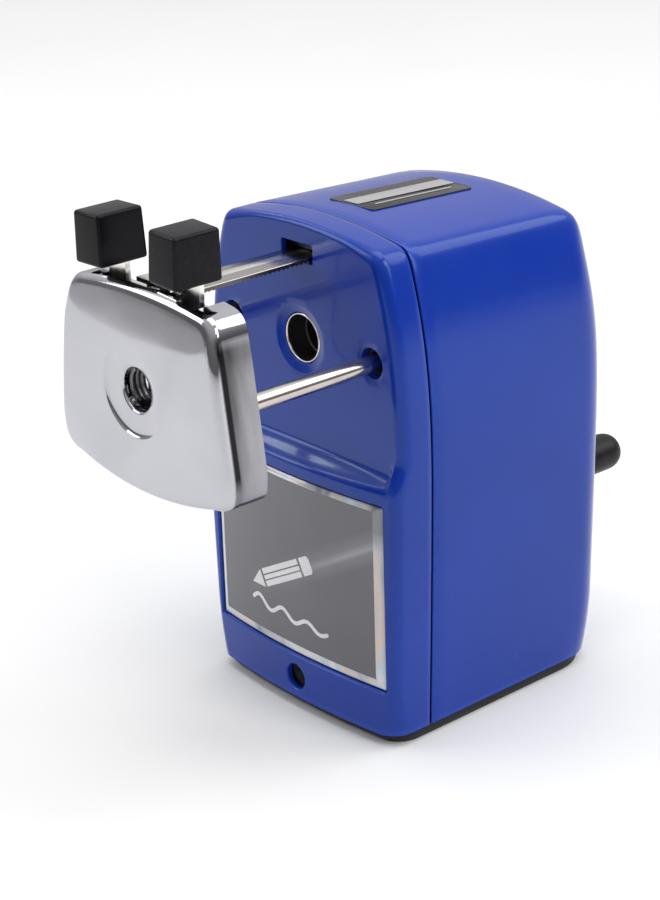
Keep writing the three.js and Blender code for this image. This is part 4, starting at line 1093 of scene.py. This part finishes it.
def make_pictogram():
    """A generic mark: a slanted pencil that draws a wavy line."""
    slant, size = math.radians(28), 1.2
    start_x, start_z = -13.5, 25.4

    def at(u, v):
        """u along the pencil from its point, and v to its left."""
        x = u * math.cos(slant) - v * math.sin(slant)
        z = u * math.sin(slant) + v * math.cos(slant)
        return (start_x + x * size, start_z + z * size)

    edge = 1.7
    parts = [printed([at(0.0, 0), at(3.4, edge), at(3.4, -edge)])]
    for low, high in ((-edge, -0.65), (-0.4, 0.4), (0.65, edge)):
        parts.append(printed([at(4.0, low), at(4.0, high), at(15.2, high), at(15.2, low)]))
    rubber = [(15.8, -edge), (15.8, edge), (18.0, edge), (18.5, 1.1), (18.5, -1.1), (18.0, -edge)]
    parts.append(printed([at(u, v) for u, v in rubber]))
    wave = []
    for k in range(61):
        t = k / 60
        swing = 1.25 * math.sin(2 * math.pi * 3 * t) * (1 - 0.45 * t)
        wave.append((start_x + 24.0 * t, 21.9 - t + swing))
    parts.append(ribbon(wave, 0.9))
    finish(join("window_pictogram", parts), WHITE_INK, "drawer", "smoked_plastic")


# ---- label
def label_sheet(name, x0, x1, y0, y1, low, high, radius):
    """A thin film on the roof, from low to high above it, with round corners and a soft upper edge."""
    middle_x, middle_y = (x0 + x1) / 2, (y0 + y1) / 2
    flat = [place for corner in round_corners(x0, x1, y0, y1, radius, 6) for place in corner]
    rows = []
    for lift, shrink in ((low, 0.0), (high - 0.06, 0.0), (high, 0.08)):
        row = []
        for x, y in flat:
            x -= math.copysign(shrink, x - middle_x)
            y -= math.copysign(shrink, y - middle_y)
            row.append([x, y, roof(x) - ROOF_FALL * (y - SEAM) + lift])
        rows.append(row)
    return rings(name, rows)


def make_label():
    film = label_sheet("roof_label", -8.0, 5.6, 20.1, 48.5, 0.03, 0.28, 1.0)
    finish(film, LABEL_DARK, "housing", "label_film", "top_label")
    broad = label_sheet("label_stripe_1", -3.8, 0.5, 20.6, 47.9, 0.26, 0.32, 0.25)
    thin = label_sheet("label_stripe_2", 2.3, 2.9, 23.5, 45.0, 0.26, 0.32, 0.2)
    for stripe in (broad, thin):
        finish(stripe, LABEL_LIGHT, "housing", "label_film")


# ---- crank
CRANK_THROW = 46.3
CRANK_TURN = math.radians(13)
KNOB_Y, KNOB_LENGTH = 71.8, 16.2


def make_flange():
    """The rear flange with its row of grip ribs on each side."""
    flange = turned("flange_moulding", [
        [4.15, 56.8], [15.7, 56.8], [15.7, 65.5], [18.2, 65.5], [18.6, 65.8], [18.6, 66.9], [18.4, 67.4],
        [17.9, 67.75], [17.2, 67.8], [13.2, 67.8], [12.9, 67.6], [12.4, 67.35], [9.4, 67.35], [8.9, 67.6],
        [8.6, 68.1], [8.2, 68.4], [4.4, 68.4], [4.15, 68.2], [4.15, 56.8],
    ], sides=96)
    ribs = []
    for x in (-15.6, 15.6):
        for k in range(5):
            z = PENCIL - 4 + 2 * k
            ribs.append(block("rib", x - 1.7, x + 1.7, 67.2, 68.7, z - 0.45, z + 0.45))
    carve(flange, ribs, "UNION")
    finish(flange, BLACK, "housing", "black_plastic", "rear_flange", bevel=0.12)


def make_knob():
    """The crank's grip, with a round end and a hole for its pin."""
    hole, front, back = 1.75, KNOB_Y, KNOB_Y + KNOB_LENGTH
    profile = [[hole, front], [3.1, front], [3.4, front + 0.12], [3.6, front + 0.5]]
    for k in range(1, 12):
        profile.append([lerp(3.6, 4.2, smooth(0, 1, k / 12)), front + 0.5 + 9.5 * k / 12])
    profile.append([4.2, back - 3.6])
    for k in range(1, 12):
        a = math.radians(90 * k / 12)
        profile.append([2.2 + 2.0 * math.cos(a), back - 3.6 + 3.5 * math.sin(a)])
    profile += [[2.2, back - 0.08], [1.95, back], [hole, back], [hole, front]]
    x, z = CRANK_THROW * math.sin(CRANK_TURN), PENCIL - CRANK_THROW * math.cos(CRANK_TURN)
    knob = turned("grip_knob", profile, x, z, 56)
    finish(knob, BLACK, "knob", "black_plastic", "crank_knob")


# ---- pieces kept from the frame
def pair(name):
    return (f"{name}_left", f"{name}_right")


CARRIED = (  # material, bevel in millimetres, nodes
    (BLACK, 0.15, ("base_plate", "rail_guide")),
    (BLACK, 0.12, ("cutter_carrier",)),
    (BIN, 0.2, ("drawer_bin",)),
    (CHROME, 0.25, ("crank_arm",)),
    (NICKEL, 0.1, (*pair("lever_pin"), "crank_shaft", "cutter_spindle", "crank_screw", "knob_pin")),
    (PLATED, 0.12, ("clamp_plate", *pair("lever_strip"))),
    (SPRING, 0.0, ("rail_latch_spring", *pair("rod_clip"), "grip_spring", *pair("feed_spring"))),
    (TOOL, 0.1, pair("jaw")),
    (TOOL, 0.0, ("helical_cutter",)),
    (ZINC, 0.1, (*pair("base_screw_front"), *pair("base_screw_rear"), *pair("plate_screw"))),
    (ZINC, 0.08, ("gear_ring_screw_1", "gear_ring_screw_2", "gear_ring_screw_3")),
    (ZINC, 0.06, ("gear_ring", "cutter_pinion")),
    (ZINC, 0.0, ("clamp_socket",)),
)


def dress_frame():
    """Gives the CAD's own pieces their materials and slightly rounded edges."""
    for material, bevel, names in CARRIED:
        for name in names:
            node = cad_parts[name]
            for slot in node.material_slots:
                slot.material = material
            if bevel:
                round_edges(node, bevel, 40)


# ---- studio
LIGHTS = (  # name, place and aim height in metres, size, power
    ("key", (1.0, 0.05, 0.95), 0.05, (0.5, 0.5), 3.0),
    ("side", (1.1, 0.3, 0.75), 0.05, (0.3, 0.8), 2.8),
    ("left", (-0.75, -0.75, 0.65), 0.06, (0.5, 0.7), 3.6),
    ("rim", (-0.85, -0.03, 0.93), 0.1, (0.08, 0.6), 0.9),
    ("top", (0.0, 0.1, 1.2), 0.0, (0.9, 0.9), 6.0),
    ("strip", (0.48, 0.72, 0.86), 0.1, (0.7, 0.8), 4.2),
)


def add_light(name, place, aim, size, power):
    data = bpy.data.lights.new(name, "AREA")
    adjust(data, shape="RECTANGLE", size=size[0], size_y=size[1], energy=power)
    light = add_object(name, data)
    light.location = place
    light.rotation_euler = (Vector((0, 0, aim)) - Vector(place)).to_track_quat("-Z", "Y").to_euler()


def make_world():
    """A soft studio: dim at the horizon and behind the camera, bright above and to the back left."""
    world = bpy.data.worlds.new("studio")
    SCENE.world = world
    world.use_nodes = True
    tree = world.node_tree

    place = add_node(tree, "TexCoord").outputs["Generated"]
    height = add_node(tree, "SeparateXYZ", {0: place}).outputs["Z"]
    back_left = {0: place, 1: (-0.62, 0.62, 0.48)}
    facing = add_node(tree, "VectorMath", back_left, operation="DOT_PRODUCT").outputs["Value"]
    eased = {"interpolation_type": "SMOOTHSTEP"}
    above = map_range(tree, height, 0.26, 1.0, (-0.02, 0.75), **eased)
    behind = map_range(tree, facing, 0.0, 0.55, (-0.05, 0.85), **eased)
    level = add_node(tree, "Math", {0: above, 1: behind}, operation="ADD").outputs[0]
    background = tree.nodes["Background"]
    tree.links.new(level, background.inputs["Color"])
    background.inputs["Strength"].default_value = 0.62


def make_floor():
    mesh = bpy.data.meshes.new("floor")
    with editing(mesh) as form:
        bmesh.ops.create_grid(form, x_segments=8, y_segments=8, size=3.0)
    floor = add_object("floor", mesh)
    look = Look("pale_floor", Specular_IOR_Level=0.15)
    tone = look.between(look.noise(3, 3), 0.74, 0.76)
    rough = look.span(look.noise(12, 3), 0.55, 0.7)
    floor.data.materials.append(look.done(tone, rough))


make_camera()
make_front_case()
make_seam_lip()
make_cover()
make_base()
make_guide_tube()
make_rods()
make_rail()
make_plate_cover()
make_caps()
make_pane()
make_pane_middle()
make_pictogram()
make_label()
make_flange()
make_knob()
dress_frame()
make_floor()
make_world()
for light in LIGHTS:
    add_light(*light)
SCENE.view_settings.view_transform = "Standard"
